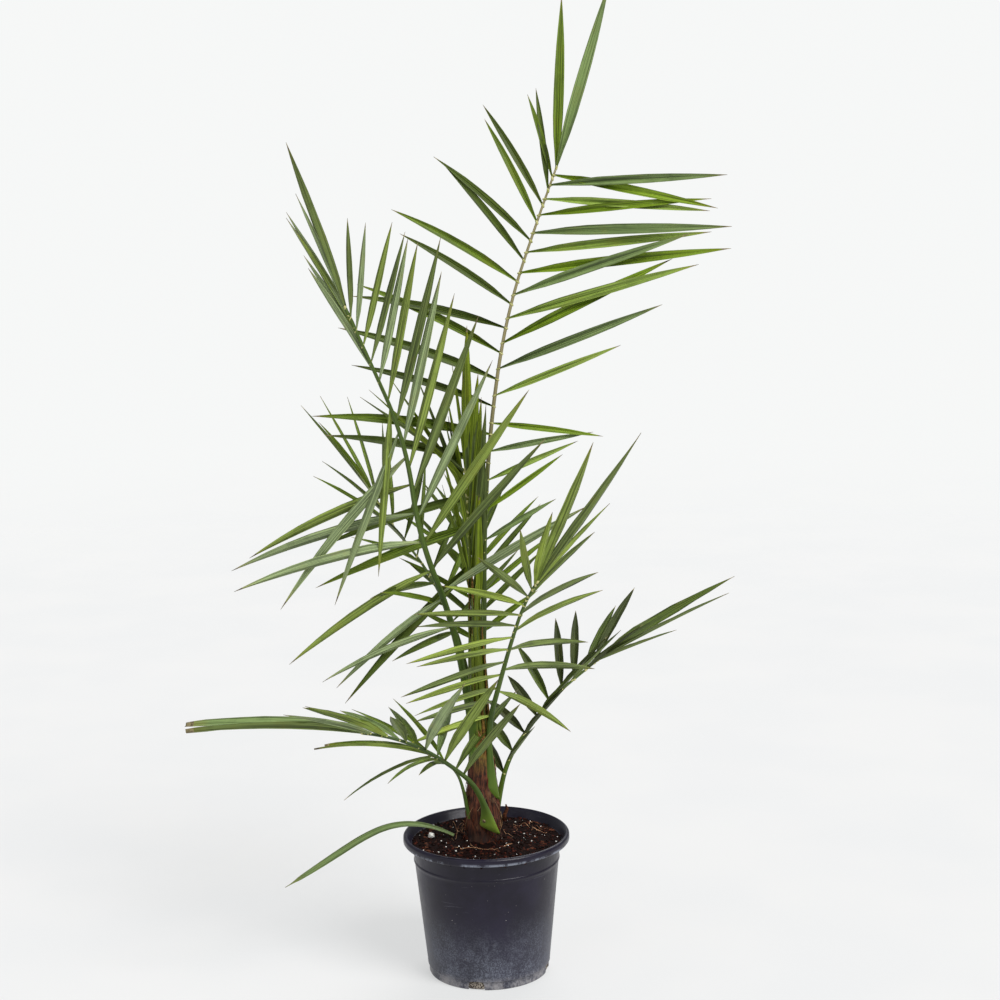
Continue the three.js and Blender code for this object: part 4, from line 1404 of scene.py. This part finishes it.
def peatFinish():
    maker = newFinish("darkPeat")
    place = maker.place()
    lumps = maker.grain(place, 150.0, 6.0, 0.7)
    shreds = maker.grain(place, 460.0, 3.0, 0.6, 1.5)
    colour = maker.coats(
        maker.tint(maker.between(lumps, 0.3, 0.7), *soil["peat"]),
        (maker.between(shreds, 0.62, 0.74, 0, 0.6), soil["shreds"]),
    )
    return closeFinish(
        maker,
        colour,
        maker.between(lumps, 0.3, 0.7, 0.85, 1.0),
        maker.bump(lumps, 0.9, 0.003, maker.bump(shreds, 0.6, 0.0012)),
        0.1,
    )


def makeSoil():
    low = pot["footRadius"] - pot["footStep"] - pot["wall"] - 0.5
    shoulder = outerRadius(soil["shoulder"]) - pot["wall"] - 0.8
    outline = [(low, soil["floor"]), (low, pot["footHeight"]), (shoulder, soil["shoulder"])]
    rings = [roundRing(radius, z, soil["sides"]) for radius, z in outline]
    for row in range(soil["rings"], 0, -1):
        radius = soil["radius"] * row / soil["rings"]
        places = [(radius * cos(angle), radius * sin(angle)) for angle in circle(soil["sides"])]
        rings.append([Vector((x, y, soilHeight(x, y))) * mm for x, y in places])
    return ringPiece("soil_body", [rings], [peatFinish()])


redFinish = speckled("redCrumb", rgb(36, 13, 10), rgb(76, 34, 23))
barkFinish = speckled("barkChip", rgb(34, 17, 12), rgb(90, 52, 34))
whiteFinish = speckled("whitePerlite", rgb(196, 194, 186), rgb(244, 243, 238))
rootFinish = speckled("paleRoot", rgb(136, 92, 66), rgb(204, 160, 124))
strewing = {"leastFacing": 0.35, "firstShare": 0.74, "sizes": (0.35, 1.5), "tilt": 0.5, "lumpiness": 0.28}
# density: lumps on each square metre; finishes: most have the first, some the second
litter = {
    "soil_crumbs": {
        "stretch": (1, 1, 0.8), "smoothness": 1, "density": 30000.0, "size": 0.0036, "seed": 3,
        "finishes": (speckled("peatCrumb", rgb(6, 2, 1), rgb(30, 12, 8)), redFinish),
    },
    "soil_chips": {
        "stretch": (1.6, 0.7, 0.22), "smoothness": 1, "density": 2600.0, "size": 0.006, "seed": 4,
        "finishes": (barkFinish, redFinish),
    },
    "soil_perlite": {
        "stretch": (1, 0.9, 0.8), "smoothness": 2, "density": 2300.0, "size": 0.0021, "seed": 6,
        "finishes": (whiteFinish, whiteFinish),
    },
}
whiteLump = {"at": (-80, 12, 198), "size": 9, "stretch": (1, 0.9, 0.8), "smoothness": 3, "seed": 12}


def makeLump(name, kind):
    roll = dice(kind["seed"])
    shell = bmesh.new()
    bmesh.ops.create_icosphere(shell, subdivisions=kind["smoothness"], radius=0.5)
    for point in shell.verts:
        uneven = point.co * (1 + strewing["lumpiness"] * roll())
        point.co = Vector(a * b for a, b in zip(uneven, kind["stretch"]))
    mesh = bpy.data.meshes.new(name)
    shell.to_mesh(mesh)
    shell.free()
    return linked(name, mesh)


def makeWhiteLump():
    piece = makeLump("soil_white_lump", whiteLump)
    for point in piece.data.vertices:
        point.co = Vector(whiteLump["at"]) * mm + point.co * (whiteLump["size"] * mm)
    piece.data.materials.append(whiteFinish)
    piece.data.shade_smooth()
    return piece


def makeLitterTree(kind):
    maker, ground, size = newTree("strewLitter", {
        "lump": None, **{key: kind[key] for key in ("density", "size", "seed")},
    })
    facing = maker.split(maker.add("GeometryNodeInputNormal"))[2]
    upper = maker.maths("GREATER_THAN", facing, strewing["leastFacing"])
    points = maker.scattered(ground, size["density"], size["seed"], upper)
    kept = maker.keep(points, "layer", maker.random(0.0, 1.0, 2))
    tilt = strewing["tilt"]
    tilts = [maker.random(-tilt, tilt, 11), maker.random(-tilt, tilt, 12), maker.random(0.0, 6.3, 13)]
    turned = maker.add("FunctionNodeEulerToRotation", None, {"Euler": maker.joinXYZ(*tilts)})
    scale = size["size"] * maker.random(*strewing["sizes"], 14)
    lumps = maker.copies(kept, maker.shapeOf(size["lump"]), turned, scale)
    some = maker.maths("GREATER_THAN", maker.readNumber("layer"), strewing["firstShare"])
    first, second = kind["finishes"]
    return closeTree(maker, maker.paint(maker.paint(lumps, first), second, some))


def strew(name, ground):
    pattern = makeLump(f"{name}_pattern", litter[name])
    piece = linked(name, ground.data.copy())
    grow(piece, makeLitterTree(litter[name]), {"lump": pattern})
    bpy.data.objects.remove(pattern)
    return piece


# tufts: where each stands, and how high its threads arch
roots = {
    "loose": 6, "eachTuft": 6, "tufts": [(-30, 14, 13), (68, 46, 5)], "tuftRadius": 6, "tuftBend": 2.4,
    "from": 34, "to": 74, "edge": 92, "bend": 0.16, "wander": 0.3, "step": 2.6, "arch": 1.1, "lift": 0.8,
    "size": 0.28, "sizeSpread": 0.22, "steps": 14, "stepSpread": 8, "seed": 31,
    "twig": [(22, -38, 190), (25, -38, 196), (30, -38, 199), (37, -37, 200)], "twigSizes": [1.1, 0.9, 0.5],
}


def stickRings(points, sizes, sides):
    return tubeRings([Vector(point) * mm for point in points], [size * mm for size in sizes], sides)


def curledRoots():  # pale threads curling over the soil and arching in tufts, and a twig that lies on it
    roll = dice(roots["seed"])
    skins = []
    for i in range(roots["loose"] + roots["eachTuft"] * len(roots["tufts"])):
        angle = pi * roll()
        radius = blendOf(roots["from"], roots["to"], roll() * 0.5 + 0.5)
        heading = pi * roll()
        bend = roots["bend"] * roll()
        arch = roots["arch"]
        x, y = radius * cos(angle), radius * sin(angle)
        if i >= roots["loose"]:
            x, y, arch = roots["tufts"][i % len(roots["tufts"])]
            x += roots["tuftRadius"] * cos(angle)
            y += roots["tuftRadius"] * sin(angle)
            bend *= roots["tuftBend"]
        points = []
        for step in range(roots["steps"] + int(roots["stepSpread"] * roll())):
            if sqrt(x * x + y * y) > roots["edge"]:
                break
            lift = roots["lift"] + arch * sin(step * 0.3 + i) ** 2
            points.append(Vector((x, y, soilHeight(x, y) + lift)) * mm)
            heading += bend + roots["wander"] * roll()
            x += roots["step"] * cos(heading)
            y += roots["step"] * sin(heading)
        if len(points) > 4:
            size = (roots["size"] + roots["sizeSpread"] * abs(roll())) * mm
            skins.append(tubeRings(points, [size * 0.4, size, size, size * 0.4], 5))
    skins.append(stickRings(roots["twig"], roots["twigSizes"], 6))
    return ringPiece("soil_roots", skins, [rootFinish])


# a bit of bark that stands in the soil
stick = {"points": [(26, 84, 194), (27, 85, 203), (31, 86, 211), (29, 86, 218)], "sizes": [4.5, 3.2, 2.6, 1]}
ground = makeSoil()
crumbs = strew("soil_crumbs", ground)
for piece in (
    ground,
    crumbs,
    strew("soil_chips", ground),
    makeWhiteLump(),
    strew("soil_perlite", ground),
    curledRoots(),
    ringPiece("soil_stick", [stickRings(stick["points"], stick["sizes"], 7)], [barkFinish]),
):
    dressed(piece, "soil")
print("soil made:", len(crumbs.data.polygons), "crumb faces")

studio = {
    "floorRadius": 6000, "fadeFrom": 2.2, "fadeTo": 5.5, "floor": rgb(150, 149, 148),
    "floorPatch": rgb(146, 146, 146), "floorGlow": (0.5, 0.505, 0.505, 1),
    "backdrop": (0.925, 0.935, 0.93, 1), "sky": (0.94, 0.97, 1.0, 1), "skyLight": 0.36,
}


def floorFinish():  # pale, and clear far out so that it runs into the backdrop
    maker = newFinish("paleFloor")
    place = maker.place()
    soft = maker.grain(place, 3.0, 2.0)
    paint = maker.add("ShaderNodeBsdfPrincipled", None, {
        "Base Color": maker.tint(maker.between(soft, 0.3, 0.7), studio["floor"], studio["floorPatch"]),
        "Roughness": 0.8,
        "Specular IOR Level": 0.1,
        "Emission Color": studio["floorGlow"],
        "Emission Strength": 1.0,
    })
    clear = maker.add("ShaderNodeBsdfTransparent")
    far = maker.between(maker.length(place), studio["fadeFrom"], studio["fadeTo"])
    shown = maker.add("ShaderNodeMixShader", None, {0: far, 1: paint, 2: clear})
    maker.add("ShaderNodeOutputMaterial", None, {"Surface": shown})
    return maker.material


floorRing = roundRing(studio["floorRadius"], 0, 64)
newPiece("studio_floor", floorRing, [tuple(range(64))], None, [floorFinish()])

world = bpy.data.worlds.new("studio")
bpy.context.scene.world = world
world.use_nodes = True
world.node_tree.nodes.clear()
sky = NodeMaker(world.node_tree)
backdrop = sky.add("ShaderNodeBackground", None, {"Color": studio["backdrop"]})
soft = sky.add("ShaderNodeBackground", None, {"Color": studio["sky"], "Strength": studio["skyLight"]})
seen = sky.add("ShaderNodeLightPath", None, None, out="Is Camera Ray")
shownSky = sky.add("ShaderNodeMixShader", None, {0: seen, 1: soft, 2: backdrop})
sky.add("ShaderNodeOutputWorld", None, {"Surface": shownSky})

# where each shines from, its breadth in degrees, its strength
lamps = {
    "key": {"from": (0.75, -0.8, 1.15), "breadth": 30, "strength": 2.7},
    "fill": {"from": (-1.0, -0.9, 0.8), "breadth": 60, "strength": 0.55},
    "rim": {"from": (0.3, 1.0, 1.2), "breadth": 40, "strength": 1.1},
}
for name, lamp in lamps.items():
    light = bpy.data.lights.new(name, "SUN")
    light.angle = radians(lamp["breadth"])
    light.energy = lamp["strength"]
    holder = linked(name, light)
    holder.rotation_euler = (-Vector(lamp["from"])).to_track_quat("-Z", "Y").to_euler()

view = {"lens": 72.9, "from": (0.03, -2.8, 1.175), "tilt": 80.2, "roll": -1.21}
camera = linked("camera", bpy.data.cameras.new("camera"))
camera.data.lens = view["lens"]
camera.location = view["from"]
tilt = Euler((radians(view["tilt"]), 0, 0)).to_matrix() @ Matrix.Rotation(radians(view["roll"]), 3, "Z")
camera.rotation_euler = tilt.to_euler()
bpy.context.scene.camera = camera
print("studio set")
